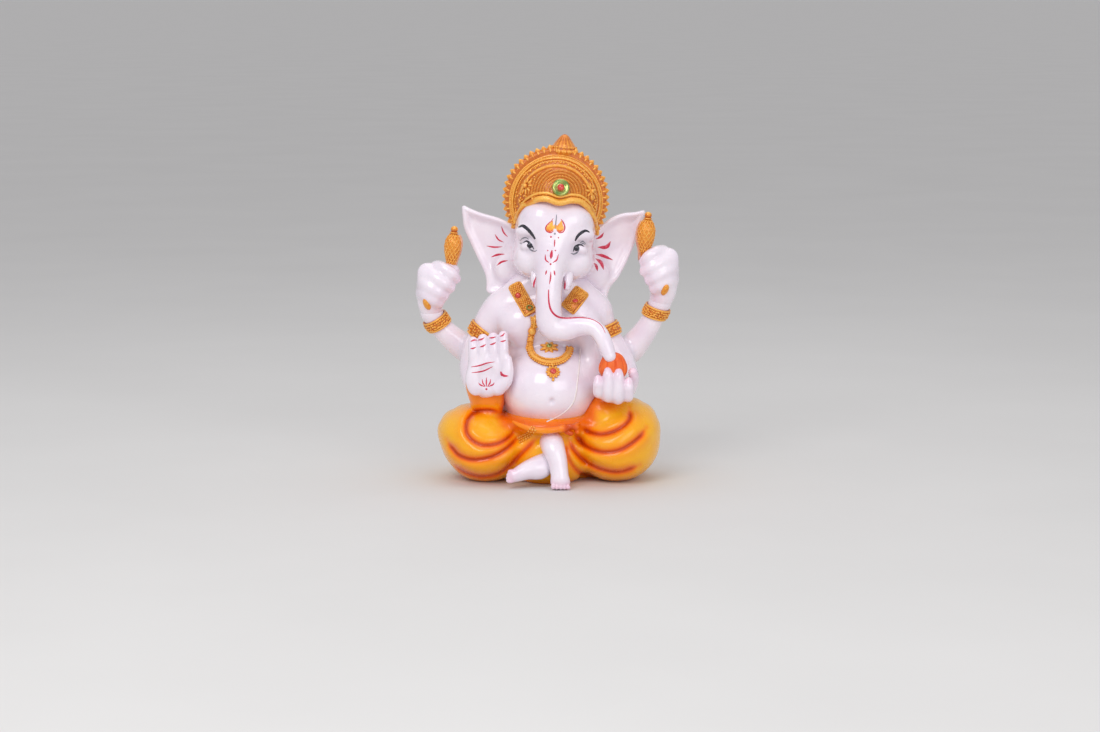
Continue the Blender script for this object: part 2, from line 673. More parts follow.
# ---------------------------------------------------------------- sculpt: hands
def sculpt_fist(side):
    """A fist round a bud's stalk: four fingers curled in towards the head, and a thumb."""
    if side == RIGHT:
        clay = Clay((-70, -12, 76), (-40, 12, 114), HAND_STEP)
        wrist = [(-57.4, 4.0, 81.0, 4.8), (-58.7, 3.3, 84.5, 5.5), (-59.2, 2.2, 89.5, 6.8),
                 (-57.5, 1.4, 96, 7.6), (-53.5, 1.4, 102.5, 7.0)]
        fingers = [
            [(-56.0, 2.6, 107.6), (-53.0, -3.2, 107.4), (-48.6, -4.8, 104.8), (-46.2, -2.2, 101.8)],
            [(-60.2, 2.0, 103.4), (-57.4, -4.2, 103.0), (-52.4, -6.0, 100.0), (-49.2, -3.6, 97.2)],
            [(-63.4, 1.6, 98.9), (-60.6, -4.6, 98.4), (-55.8, -6.2, 95.4), (-52.4, -4.0, 93.0)],
            [(-64.0, 1.6, 94.0), (-61.6, -4.0, 93.6), (-57.6, -5.2, 91.4), (-54.8, -3.4, 89.4)],
        ]
        thumb = [(-54.0, 5.5, 97), (-49.0, 4.5, 102), (-47.0, 1.5, 105.5), (-49.0, -1.5, 108.2)]
    else:
        clay = Clay((42, -12, 81), (70, 12, 122), HAND_STEP)
        wrist = [(56.6, 4.0, 86.6, 4.8), (57.8, 3.3, 90.2, 5.6), (59.0, 2.2, 95.0, 6.8),
                 (58.4, 1.4, 102, 7.8), (55.6, 1.4, 109.5, 7.0)]
        fingers = [
            [(58.8, 2.6, 115.6), (55.6, -3.2, 115.6), (51.6, -4.8, 113.4), (49.2, -2.2, 110.6)],
            [(62.2, 2.0, 111.0), (58.6, -4.2, 110.6), (53.4, -6.0, 108.0), (49.4, -3.6, 105.6)],
            [(64.2, 1.6, 106.4), (60.6, -4.6, 105.8), (55.6, -6.2, 103.2), (52.0, -4.0, 101.0)],
            [(64.2, 1.6, 101.4), (61.4, -4.0, 100.8), (57.4, -5.2, 98.6), (54.4, -3.4, 96.6)],
        ]
        thumb = [(55.0, 5.5, 104), (50.5, 4.5, 109), (48.8, 1.5, 112.0), (50.6, -1.5, 114.6)]
    clay.tube(wrist, 2.0)
    middle = np.mean([f[1] for f in fingers], axis=0) + (0, 3.4, 0)
    clay.ball(middle, (6.8, 5.2, 9.8), 2, turn=(0, side * 32, 0))
    for finger, r in zip(fingers, (3.0, 3.1, 3.0, 2.7)):
        clay.tube([(*p, r * k) for p, k in zip(finger, (0.95, 1.0, 1.0, 0.86))], 2.6)
    clay.tube([(*p, r) for p, r in zip(thumb, (3.2, 2.9, 2.6, 2.0))], 1.0)
    return clay, [f[-1] for f in fingers]


def sculpt_palm():
    """The blessing right hand, palm forward, and the tips of its fingers."""
    clay = Clay((-45, -36, 40), (-13, -14, 82), HAND_STEP)
    clay.tube([(-32.5, -18.0, 47.5, 5.6), (-31.0, -22.0, 48.6, 5.4), (-30.0, -25.5, 51.5, 5.6)], 2,
              flat=(0, 1, 0), ratio=0.8)
    clay.ball((-30.0, -26.4, 55.5), (10.2, 3.9, 10.2), 3)
    clay.ball((-29.0, -26.8, 62.5), (9.9, 3.5, 7.0), 3)
    tips = []
    for x0, x1, top, r in (
        (-36.2, -37.0, 75.6, 2.75),
        (-31.4, -32.0, 77.0, 2.9),
        (-26.5, -26.9, 77.8, 2.9),
        (-21.9, -21.8, 78.5, 2.8),
    ):
        middle = x0 * 0.5 + x1 * 0.5
        clay.tube([(x0, -26.8, 60, r), (middle, -27.5, 68, r), (x1, -26.6, top - r, r * 0.88)], 0.8)
        tips.append((x1, -27, top - 1))
    clay.tube([(-24.5, -27.0, 49.5, 4.0), (-20.8, -28.4, 53.5, 3.5), (-19.6, -29.0, 59.0, 2.9),
               (-19.6, -28.8, 64.0, 2.2)], 1.4)
    clay.ball((-36.2, -28.2, 53.0), (4.0, 2.6, 7.0), 3)
    clay.ball((-30.2, -30.6, 55.5), (3.2, 1.2, 5.0), 3, "carve")
    return clay, tips


def sculpt_cup():
    """The cupped left hand, and the tips of its fingers and thumb."""
    clay = Clay((18, -44, 38), (50, -14, 68), HAND_STEP)
    clay.tube([(37.4, -17.5, 50, 6.0), (35.5, -22, 49.6, 6.4), (34.0, -27, 49.0, 7.0)], 2)
    clay.ball((33.4, -29.5, 49.0), (9.8, 7.6, 6.4), 2)
    tips = []
    rows = ((25.6, 57.4, 45.8), (30.4, 61.2, 43.9), (35.5, 60.6, 42.8), (40.5, 56.2, 43.8))
    for (x, top, foot), r in zip(rows, (2.6, 2.75, 2.8, 2.6)):
        lean = (x - 33.4) * 0.06
        clay.tube(
            [(x - lean, -29.5, foot + 1.5, r), (x, -34.0, foot + 2.4, r * 1.02),
             (x + lean * 0.4, -36.4, foot + 6.6, r), (x + lean * 0.5, -36.6, top - 4.6, r * 0.96),
             (x + lean * 0.3, -36.0, top - 1.9, r * 0.72)], 1.3)
        tips.append((x, -36.5, top - 1))
    clay.tube([(41.6, -25, 48.5, 3.2), (43.2, -28, 53.0, 2.8), (43.4, -30.5, 56.0, 2.5),
               (42.8, -31.6, 58.0, 2.3)], 1.2)
    tips.append((42.8, -32, 58.5))
    return clay, tips


def sculpt_sweet():
    """A ball of a sweet with a small top, its sides ribbed by nine grooves."""
    clay = Clay((23, -42, 50), (43, -22, 71), HAND_STEP)
    clay.ball((33.0, -31.4, 60.0), (7.3, 5.6, 6.4), 1)
    clay.ball((33.0, -31.6, 64.5), (4.8, 4.0, 3.4), 3)
    for across, ahead, _ in ways_round(np.eye(3), 9):
        low = (33 + 7.6 * across, -31.4 + 5.9 * ahead, 58.0, 0.3)
        high = (33 + 5.2 * across, -31.5 + 4.2 * ahead, 65.2, 0.2)
        clay.tube([low, high], 0.8, "carve", 8)
    return clay


# ---------------------------------------------------------------- sculpt: legs
def sculpt_legs():
    """The crossed right foot with four toes, the hanging left leg with five, and where the toes are."""
    clay = Clay((-24, -46, -2), (14, -16, 36), HAND_STEP)
    clay.tube([(4, -27, 12.6, 5.0), (-2, -31.5, 11.6, 5.2), (-8, -34.0, 9.6, 4.9), (-13, -36.0, 7.8, 4.0),
               (-16.2, -37.2, 6.5, 3.2)], 1.5)
    clay.ball((-4.0, -34.2, 8.6), (5.4, 3.8, 4.2), 3)
    toes = []
    for k, (dx, dz) in enumerate(((0.3, 2.5), (-0.3, 0.9), (-0.6, -0.7), (-0.4, -2.1))):
        p = (-18.0 + dx, -37.8 - 0.2 * k, 6.3 + dz)
        clay.ball(p, (2.0, 1.5, 1.2), 0.7)
        toes.append(p)
    clay.tube([(1.6, -24, 21.4, 5.8), (2.4, -30, 21.6, 6.0), (3.4, -33.6, 19.2, 5.7),
               (5.0, -36.0, 14.8, 5.0), (5.9, -37.4, 10.2, 4.6), (6.5, -38.8, 5.8, 4.4)], 0.8)
    clay.ball((6.7, -39.3, 3.5), (4.8, 3.4, 3.4), 2)
    for k in range(5):
        p = (3.0 + 1.9 * k, -41.8 + 0.25 * abs(k - 1.5), 2.0 - 0.1 * k)
        clay.ball(p, (1.15, 1.7, 1.6 - 0.08 * k), 0.5)
        toes.append(p)
    clay.cut_flat()
    return clay, toes


# ---------------------------------------------------------------- sculpt: dhoti
CREASES = (  # across and up as seen from the front, from the waist outwards, then how deep each one is
    (((-21.5, 35.6), (-26.5, 37.4), (-31.5, 37.8), (-36.0, 36.8), (-40.0, 32.5), (-40.4, 26.4),
      (-37.2, 22.2), (-32.0, 20.0), (-24.6, 20.9), (-18.6, 24.6), (-15.4, 29.6)), 1.0),
    (((-50.5, 23.0), (-47.6, 18.5), (-43.8, 14.6), (-36.6, 12.6), (-27.3, 14.3), (-20.1, 18.6),
      (-13.6, 25.2)), 1.0),
    (((-48.5, 11.5), (-45.0, 8.6), (-39.5, 5.5), (-32.3, 4.0), (-24.0, 5.7), (-17.9, 10.6), (-10.0, 18.6),
      (-4.5, 24.6)), 0.8),
    (((17.3, 29.6), (20.9, 26.8), (28.1, 25.6), (36.0, 28.1), (41.4, 33.0), (41.2, 39.0)), 1.0),
    (((13.0, 26.6), (19.5, 19.6), (28.1, 16.5), (37.4, 17.9), (46.0, 23.7), (50.0, 29.0)), 1.0),
    (((10.8, 23.7), (13.6, 17.4), (18.6, 12.2), (26.7, 7.9), (36.7, 6.4), (46.8, 9.9)), 0.9),
    (((9.8, 21.6), (11.2, 12.6), (16.6, 6.0), (25.2, 3.3)), 0.6),
)
KNOT = (11.6, -33.6, 29.4)
KNOT_LOOPS = ((-2.6, 0.4, 1.7), (2.6, 1.0, 1.9), (0.2, -2.0, 1.6), (3.4, -1.4, 1.4), (0.2, 1.6, 1.6),
              (-1.6, -1.6, 1.3))
MAP_STEP = 0.25
DHOTI_GRID = (np.arange(-62, 62.01, MAP_STEP), np.arange(-8, 52.01, MAP_STEP))


def crease_maps():
    """Over the front view: how far each place is pushed in, and how dark the airbrush leaves it."""
    x, z = np.meshgrid(*DHOTI_GRID, indexing="ij")
    push, dark = np.zeros_like(x), np.zeros_like(x)
    for crease, depth in CREASES:
        line = spline(crease, 60)
        near = np.full(x.shape, 1e9)
        fade = np.zeros_like(x)
        for k, (a, b) in enumerate(pairwise(line)):
            ex, ez = b - a
            t = np.clip(((x - a[0]) * ex + (z - a[1]) * ez) / (ex * ex + ez * ez), 0, 1)
            gap = np.hypot(x - a[0] - ex * t, z - a[1] - ez * t)
            closer = gap < near
            near = np.where(closer, gap, near)
            along = (k + t) / (len(line) - 1)
            fade = np.where(closer, np.clip(np.minimum(along, 1 - along) * 9, 0.25, 1), fade)
        push += depth * fade * (1.3 * np.exp(-near / 1.3) - 0.7 * np.exp(-(((near - 3.2) / 2.3) ** 2)))
        tint = 0.62 * np.exp(-((near / 1.15) ** 2)) + 0.38 * np.exp(-near / 4.2)
        dark = np.maximum(dark, depth * fade * tint)
    return push, dark


def on_front(grid_map, x, y, z):
    """The value of a front-view map at points, along the line of sight."""
    nearer = (SHEET - EYE[1]) / (y - EYE[1])
    across, up = EYE[0] + (x - EYE[0]) * nearer, EYE[2] + (z - EYE[2]) * nearer
    u = np.clip((across - DHOTI_GRID[0][0]) / MAP_STEP, 0, len(DHOTI_GRID[0]) - 1.001)
    v = np.clip((up - DHOTI_GRID[1][0]) / MAP_STEP, 0, len(DHOTI_GRID[1]) - 1.001)
    u, v = np.broadcast_arrays(u, v)
    i, j = u.astype(int), v.astype(int)
    f, g = u - i, v - j
    low = grid_map[i, j] * (1 - f) + grid_map[i + 1, j] * f
    high = grid_map[i, j + 1] * (1 - f) + grid_map[i + 1, j + 1] * f
    return low * (1 - g) + high * g


BEHIND = (-14, 20)  # where the folds behind start to show, and over what distance


def back_swags(x, z):
    """The cloth's shallow folds behind, which dip between the hips: 1 in a valley, 0 on a swell."""
    return (0.5 + 0.5 * np.sin(0.58 * (z - 0.0062 * x * x) + 0.9 * np.sin(x * 0.11) + 1.0)) ** 2


def sculpt_dhoti(push):
    """The cloth over the folded legs, with its folds, cuff, waistband, sash and knot."""
    clay = Clay((-62, -42, -2), (62, 38, 62), HEAD_STEP)
    clay.ball((-31.2, -7.0, 17.6), (21.4, 28.0, 18.6), 1)
    clay.ball((-38.4, -6.0, 24.6), (17.4, 25.0, 13.2), 5)
    clay.ball((35.0, -7.0, 18.2), (22.2, 28.0, 19.0), 2)
    clay.ball((40.4, -6.0, 26.6), (16.8, 25.0, 14.8), 5)
    clay.ball((1.0, 9.0, 14.0), (40.0, 26.0, 21.5), 6)
    clay.ball((1.0, -13.5, 14.0), (21.0, 18.0, 17.5), 3)
    clay.tube([(-29.8, -15.0, 37.5, 7.4), (-30.2, -16.0, 43.0, 8.8), (-31.2, -16.0, 48.5, 9.7),
               (-32.0, -15.0, 52.5, 9.0)], 1.5)
    clay.ball((1.0, -6.0, 30.0), (27.0, 26.5, 7.0), 4)
    clay.ball((28.0, -14.0, 35.6), (9.6, 11.0, 9.0), 4)
    clay.tube([(-26.5, -4, 36.5, 1.6), (-24.5, 12, 34.5, 1.9), (-15.0, 24.0, 32.6, 2.0),
               (1.0, 28.6, 31.6, 2.0), (17.0, 24.0, 32.6, 2.0), (26.5, 12, 34.5, 1.9),
               (28.5, -4, 37.0, 1.6)], 1.4)
    cut, (x, y, z) = clay.whole()
    clay.d[cut] += (on_front(push, x, y, z) * rising(-y, -8, 18)).astype(np.float32)
    clay.d[cut] += (0.75 * back_swags(x, z) * rising(y, *BEHIND)).astype(np.float32)
    clay.tube([(-17.0, -28.6, 32.6, 0.8), (-13.5, -31.4, 31.2, 1.3), (-7.5, -34.2, 29.7, 1.6),
               (0.0, -35.3, 29.2, 1.7), (8.0, -34.2, 30.0, 1.6)], 1.8)
    clay.tube([(8.0, -34.2, 30.0, 1.6), (11.5, -32.6, 30.4, 1.4), (14.2, -30.6, 31.0, 1.0),
               (16.0, -28.6, 31.6, 0.6)], 1.8)
    for dx, dz, r in KNOT_LOOPS:
        clay.ball((KNOT[0] + dx, KNOT[1] + 0.3 * abs(dx), KNOT[2] + dz), (r, r * 0.8, r * 0.85), 0.5)
    clay.cut_flat()
    return clay


# ---------------------------------------------------------------- sculpt: crown
RING_X, RING_Z = -0.9, 142.6  # the halo's middle, across from the head's middle plane
RING_Y, RING_RADIUS = -3.4, 22.3
RING_HALF_WIDTH, RING_HALF_DEPTH, RING_ROUNDING = 2.7, 2.3, 0.8
RING_FOOT_Z = 128.4  # the halo ends at this height
CROWN_Y = -2  # the cap's middle
OUTSIDE = 60  # a distance from the cap's middle that is clear of the head and crown
JEWEL = (0.9, 147.0)  # where the fan of rays starts
BROW = (  # the cap's lower edge: its height at turns in degrees from the front
    (0, 141.4), (14, 142.2), (31, 142.4), (50, 138.8), (63, 133.2), (75, 128.6), (90, 127.0), (120, 125),
    (150, 122.6), (180, 121.6),
)


def brow_height(turn):
    return np.interp(turn, *zip(*BROW))


def sculpt_crown():
    """The domed cap, cut along the brow, and the halo ring that stands round its front."""
    clay = Clay((-26, -30, 116), (38, 24, 172), CROWN_STEP)
    clay.ball(head_point(0, CROWN_Y, 140.0), (21.8, 22.6, 25.2), 0.5, turn=(0, ROLL_DEGREES, 0))
    cut, (x, y, z) = clay.whole()
    ux, uz = upright(x, z)
    edge = brow_height(np.degrees(np.arctan2(np.abs(ux - HEAD_X), CROWN_Y - y))).astype(np.float32)
    clay.mix(cut, (edge - uz).astype(np.float32) * 0.8, 0.8, "keep")
    ring = np.hypot(ux - HEAD_X - RING_X, uz - RING_Z)
    wide, deep = np.abs(ring - RING_RADIUS) - RING_HALF_WIDTH, np.abs(y - RING_Y) - RING_HALF_DEPTH
    flange = np.maximum(box_distance(wide, deep, RING_ROUNDING), (RING_FOOT_Z - uz) * 0.9)
    clay.mix(cut, flange.astype(np.float32), 1.0, "add")
    return clay


def crown_point(x, z, y=-25.0):
    """A place on the upright crown's front view, as seen with the tilt."""
    p = head_point(x, y, z)
    return p[0], p[2]


def spike(bag, at, out, along, reach, radius):
    """A pointed tooth standing out from at."""
    axes = basis(out, along)
    rings = ((-0.5, 0.9), (0.0, 1.0), (0.35, 0.92), (0.65, 0.62), (0.88, 0.28), (1.0, 0.05))
    spokes = 8
    points, rise = [], []
    for height, share in rings:
        points += [at + out * height * reach + share * radius * way for way in ways_round(axes, spokes)]
        rise += [max(0.0, 0.3 + 0.7 * height)] * spokes
    bag.add(points, tube_faces(len(rings), spokes), rise=np.array(rise))


def lathe(bag, profile, centre, axis, spokes, flutes=0, depth=0.0):
    """A turned shape from (radius, height) pairs, with optional flutes."""
    axes = basis(axis, (1, 0, 0))
    points, rise = [], []
    for i, (r, h) in enumerate(profile):
        before, after = profile[max(0, i - 1)][0], profile[min(len(profile) - 1, i + 1)][0]
        for k in range(spokes):
            a = 2 * math.pi * k / spokes
            wave = math.cos(a * flutes) if flutes else 0.0
            points.append(centre + r * (1 + depth * wave) * turned(axes, a) + h * axes[2])
            rise.append(np.clip(0.45 + 0.9 * (r - 0.5 * (before + after)) + 0.25 * wave, 0, 1))
    bag.add(points, tube_faces(len(profile), spokes), rise=np.array(rise))


def on_ring(radius, degrees):
    """A place about the halo's middle, just before it."""
    a = math.radians(degrees)
    return crown_point(RING_X + radius * math.cos(a), RING_Z + radius * math.sin(a), -5.0)


def ring_of_leaves(bag, skin, radius, start, end, count, radii):
    """Leaves or ribs that point out from the halo's middle."""
    for degrees in np.linspace(start, end, count):
        got = seen(skin, *on_ring(radius, degrees))
        if got is not None:
            bead(bag, *got, radii, outward(math.radians(degrees)), 5, 7)


def crown_relief(skin):
    """Teeth, rim lines, fan of rays, leaves, rosettes and grains: the crown's moulded gold ornament."""
    bag = Bag()
    for degrees in np.linspace(-38, 218, 36):
        a = math.radians(degrees)
        foot = RING_RADIUS + RING_HALF_WIDTH - RING_ROUNDING
        at = head_point(RING_X + foot * math.cos(a), RING_Y, RING_Z + foot * math.sin(a))
        way = outward(a)
        spike(bag, at, way, (0, 1, 0), 2.9 + 0.3 * rng.random(), 1.95)
        bead(bag, at + way * 0.2 + (0, -1.8, 0), (0, -1, 0), (1.5, 0.62, 0.6), way, 5, 7)
    for radius, thick in ((21.5, 0.72), (23.0, 0.4)):
        path = [on_ring(radius, degrees) for degrees in range(-37, 218, 6)]
        cord_seen(bag, skin, path, (thick, thick), 150, out=0.15, spokes=7)
    ring_of_leaves(bag, skin, 22.4, -37, 217, 118, (0.8, 0.5, 0.35))
    ring_of_leaves(bag, skin, 20.2, -24, 204, 100, (0.9, 0.45, 0.6))
    ring_of_leaves(bag, skin, 17.9, 8, 172, 84, (1.3, 0.46, 0.85))
    for row in range(9):
        r = 5.6 + 1.42 * row
        count = 44 if r < 9 else 66 if r < 13 else 88
        for k in range(count):
            a = math.radians(-14 + 208 * (k + 0.5) / count)
            if r > ring_reach(JEWEL, a, 16.4):
                continue
            got = seen(skin, *crown_point(JEWEL[0] + r * math.cos(a), JEWEL[1] + r * math.sin(a)))
            if got is not None:
                bead(bag, *got, (0.86, 1.5 * r / count, 0.55 + 0.35 * rng.random()), outward(a), 4, 6)
    taken = [(*JEWEL, 6.0)]
    flowers = ((16.2, 149.2, 1.3, 3.9, 9), (12.2, 143.3, 0.8, 1.9, 6), (18.2, 141.6, 0.85, 2.0, 6),
               (19.8, 135.6, 0.8, 1.7, 6), (20.6, 130.6, 0.7, 1.4, 5))
    for side in (RIGHT, LEFT):
        for x, z, heart, spread, petals in flowers:
            flower(bag, skin, side * x, z, heart, spread, petals)
            taken.append((side * x, z, spread + 1.0))
    grains(bag, skin, taken)
    back_relief(bag, skin)
    return bag


def ring_reach(start, angle, radius):
    """How far a ray from start runs before it meets the circle of that radius about the ring's middle."""
    dx, dz = start[0] - RING_X, start[1] - RING_Z
    b = dx * math.cos(angle) + dz * math.sin(angle)
    return -b + math.sqrt(max(b * b - dx * dx - dz * dz + radius * radius, 0.0))


def flower(bag, skin, x, z, heart, spread, petals):
    """A rosette of petals round a bead, left out where the crown turns away from the front."""
    got = seen(skin, *crown_point(x, z))
    if got is None:
        return
    at, normal = got
    bead(bag, at + normal * 0.5, normal, heart, rings=5, spokes=9)
    for way in ways_round(basis(normal), petals):
        place, out = skin.nearest(at + way * spread * 0.78)
        bead(bag, place + out * 0.2, out, (spread * 0.42, heart * 0.52, 0.6), way, 5, 8)


def grains(bag, skin, taken):
    """Small grains that fill the front of the crown between its larger ornaments."""
    kept = np.zeros((0, 2))
    taken = np.array(taken)
    for x, z in np.column_stack([rng.uniform(-24, 24, 5200), rng.uniform(127, 162, 5200)]):
        ring = math.hypot(x - RING_X, z - RING_Z)
        edge = brow_height(math.degrees(math.asin(min(1, abs(x) / 21.5))))
        in_fan = ring < 19.2 and z > 144.6 + 0.06 * abs(x) and (abs(x) < 12 or ring > 16.6)
        if ring > 20.6 or z < edge + 4.0 or in_fan:
            continue
        if (np.hypot(x - taken[:, 0], z - taken[:, 1]) < taken[:, 2]).any():
            continue
        if len(kept) and (np.hypot(x - kept[:, 0], z - kept[:, 1]) < 1.02).any():
            continue
        kept = np.vstack([kept, (x, z)])
        got = seen(skin, *crown_point(x, z))
        if got is not None:
            r = 0.52 + 0.2 * rng.random()
            bead(bag, *got, (r * 1.2, r * 0.9, r * 1.15), rng.normal(size=3), 4, 6)


def back_relief(bag, skin):
    """Ribbed leaves in staggered rows over the crown's back."""
    up = outward(math.pi / 2)
    rows = ((132.5, 24), (139.0, 23), (145.5, 20), (152.0, 16), (158.0, 11), (162.5, 6))
    for row, (height, count) in enumerate(rows):
        for k in range(count):
            a = math.radians(90 + (k + 0.5 * (row % 2)) * 180 / count)
            start = head_point(OUTSIDE * math.sin(a), CROWN_Y - OUTSIDE * math.cos(a), height)
            got = skin.hit(start, unit(head_point(0, CROWN_Y, height) - start))
            if got is None or got[0][1] < 1.0:
                continue
            bead(bag, *got, (2.9, 1.75, 0.75), up, 6, 8)
            bead(bag, got[0] + got[1] * 0.6, got[1], (1.9, 0.4, 0.45), up, 5, 6)


def brim_place(cap, head, turn, height):
    """Where the crown comes out of the head at a turn from the front, at this height or above it."""
    highest, step, furthest = 146, 0.5, 26
    for level in np.arange(height, highest, step):
        middle = head_point(0, CROWN_Y, level)
        start = head_point(OUTSIDE * math.sin(turn), CROWN_Y - OUTSIDE * math.cos(turn), level)
        out = unit(start - middle)
        on_cap, on_head = cap.hit(start, -out), head.hit(start, -out)
        if on_cap is None:
            continue
        beyond = 0.0 if on_head is None else (on_head[0] - on_cap[0]) @ out
        if beyond < 0.3 or (on_head[0] - middle) @ out > furthest:  # what is further out is an ear
            return on_cap
    return None


def crown_band(bag, skin, cap, head):
    """The smooth double band along the brow, and the plain band round the back."""
    front = [(-20.9, 127.6), (-19.8, 132.2), (-16.8, 138.0), (-11.6, 142.0), (-5.6, 143.1), (0.6, 141.8),
             (6.4, 143.3), (11.6, 142.8), (16.8, 138.6), (19.8, 132.2), (20.9, 127.6)]
    low_path = [crown_point(x, z + 0.6) for x, z in front]
    cord_seen(bag, skin, low_path, (0.9, 1.5, 1.75, 1.75, 1.5, 0.9), 130, out=0.15, spokes=12)
    high_path = [crown_point(x * 0.985, z + 3.4 - 0.5 * (abs(x) > 17)) for x, z in front[1:-1]]
    cord_seen(bag, skin, high_path, (0.4, 0.8, 0.85, 0.85, 0.8, 0.4), 110, out=0.3, spokes=8)
    rows = []
    for a in range(78, 283, 3):
        got = brim_place(cap, head, math.radians(a), brow_height(min(a, 360 - a)) + 1.2)
        if got is not None:
            rows.append(got)
    line = spline([row[0] for row in rows[::4]], 90)
    cord(bag, line, [cap.nearest(at)[1] for at in line], 1.4, spokes=9)


def finial(bag):
    """The fluted knob on the crown's top, with two beaded rings."""
    up = outward(math.pi / 2)
    base = head_point(1.2, 0, 166.6)
    profile = (
        (5.0, -4.0), (6.6, -1.2), (7.1, -0.4), (7.2, 0.4), (6.7, 1.1), (6.2, 1.5), (6.4, 1.9), (6.1, 2.4),
        (5.6, 2.8), (4.9, 3.8), (4.0, 5.0), (3.1, 6.2), (2.4, 7.1), (1.7, 7.8), (0.9, 8.3), (0.3, 8.47),
        (0.02, 8.5),
    )
    lathe(bag, profile, base, up, 48, 16, 0.012)
    axes = basis(up, (1, 0, 0))
    for height, radius, count, radii in ((0.0, 7.0, 30, (0.95, 0.6, 0.5)), (2.0, 6.3, 26, (0.5, 0.6, 0.4))):
        for way in ways_round(axes, count):
            bead(bag, base + way * radius + up * height, way, radii, up, 5, 7)


def gem(setting, stone, skin, x, z, radius, stone_radius, thick):
    """A round stone in a dished metallic setting."""
    at, normal = seen(skin, x, z)
    shares = ((0.93, 1.0), (0.72, 1.05), (0.55, 0.8), (0.4, 0.75))
    face = [(radius * across, thick * up) for across, up in shares]
    profile = ((radius * 0.98, -1.5), (radius, thick * 0.55), *face, (0.05, thick * 0.72))
    lathe(setting, profile, at, normal, 32)
    radii = (stone_radius, stone_radius, stone_radius * 0.75)
    bead(stone, at + normal * thick * 0.8, normal, radii, rings=8, spokes=14)


# ---------------------------------------------------------------- jewellery
def grain_strip(bag, skin, path, wide, gap, radius, rows=3, lift=0.4):
    """Rows of grains along a path seen from the front: a moulded granular band."""
    count = int(length_of(path) / gap)
    p, heading, side = strip_line(path, count)
    for i in range(count):
        for j, u in enumerate(np.linspace(-1, 1, rows)):
            x, z = p[i] + side[i] * u * wide * 0.5 + heading[i] * (gap * 0.5 * (j % 2))
            got = seen(skin, x, z)
            if got is not None:
                r = radius * (0.85 + 0.3 * rng.random())
                bead(bag, got[0] + got[1] * lift, got[1], r, rings=4, spokes=7)


def collar(bag, skin, path, wide, plain):
    """A collar band with rounded ends, a cord edge and grains, but for plain discs of (x, z, radius)."""
    length, across = 30, 11
    t, u = np.linspace(0, 1, length), np.linspace(-1, 1, across)
    from_end = np.clip(np.minimum(t, 1 - t) * length_of(path) / (0.24 * wide), 0, 1)
    widths = wide * (0.74 + 0.26 * np.sqrt(1 - (1 - from_end) ** 2))
    points, normals = laid(skin, path, length, widths, across, leap=12)
    mid = np.repeat(normals[:, across // 2][:, None], across, 1)
    rise = 1.5 * (1 - np.abs(u) ** 5)[None, :] * np.clip(from_end + 0.35, 0, 1)[:, None] ** 0.4
    top = points + mid * (rise[:, :, None] + 0.1)
    paint = np.clip(rise * 0.25 + 0.1, 0, 1).ravel()
    thin_sheet(bag, top, points - mid * 0.8, rise=np.concatenate([paint, np.zeros(rise.size)]))
    edge = [
        *((i, 0) for i in range(1, length - 1)),
        *((length - 2, j) for j in range(1, across)),
        *((i, across - 1) for i in range(length - 3, 0, -1)),
        *((1, j) for j in range(across - 2, 0, -1)),
    ]
    rim, facing = (np.array([grid[place] for place in edge]) for grid in (top, mid))
    cord(bag, rim, facing, 0.5, spokes=7, closed=True)
    smooth = [(seen(skin, x, z)[0], r) for x, z, r in plain]
    for i in range(2, length - 2):
        for j in range(1, across - 1):
            at = top[i, j] + mid[i, j] * 0.1
            if (i + j) % 2 == 0 and all(np.hypot(*(at - place)[[0, 2]]) > r for place, r in smooth):
                r = 0.45 + 0.22 * rng.random()
                bead(bag, at, mid[i, j], (r, r * 0.9, r * 0.8), rings=4, spokes=7)


def set_stone(bag, stones, skin, x, z, radius, lift):
    """A round stone in a beaded setting, or the setting alone."""
    at, normal = seen(skin, x, z)
    at = at + normal * lift
    for way in ways_round(basis(normal), 12):
        bead(bag, at + way * (radius + 0.35), normal, 0.42, rings=4, spokes=6)
    if stones is not None:
        bead(stones, at, normal, (radius, radius, radius * 0.55), rings=8, spokes=14)


def limb_band(bag, skin, centre, heading, reach, half):
    """A granular bracelet or armlet round a limb, between two cords."""
    out = unit(heading)
    count, rows = 44, 5
    turns = 2 * math.pi * np.arange(count) / count
    heights = np.linspace(-half, half, rows)
    rings = [tuple(round_limb(skin, centre + out * h, heading, reach, turns)) for h in heights]
    outer, inner = [], []
    for (points, normals), h in zip(rings, heights):
        level = unit(normals - out * (normals @ out)[:, None])
        outer.append(points + level * 1.2 * (1 - 0.4 * (h / half) ** 4))
        inner.append(points - normals * 0.8)
    stack = np.array(outer + inner[::-1])
    rise = np.concatenate([np.full(rows * count, 0.3), np.zeros(rows * count)])
    bag.add(stack.reshape(-1, 3), tube_faces(2 * rows, count, closed=True), rise=rise)
    for row in (0, rows - 1):
        cord(bag, outer[row], rings[row][1], 0.6, spokes=7, closed=True)
    for k in range(count):
        for row in range(1, rows - 1):
            here, beside = outer[row][k], outer[row][(k + 1) % count]
            place = here + rng.uniform(-0.4, 0.4) * (beside - here) + out * rng.uniform(-0.35, 0.35)
            r = rng.uniform(0.45, 0.85)
            bead(bag, place, rings[row][1][k], (r, r * 0.85, r * 0.75), rng.normal(size=3), 4, 7)


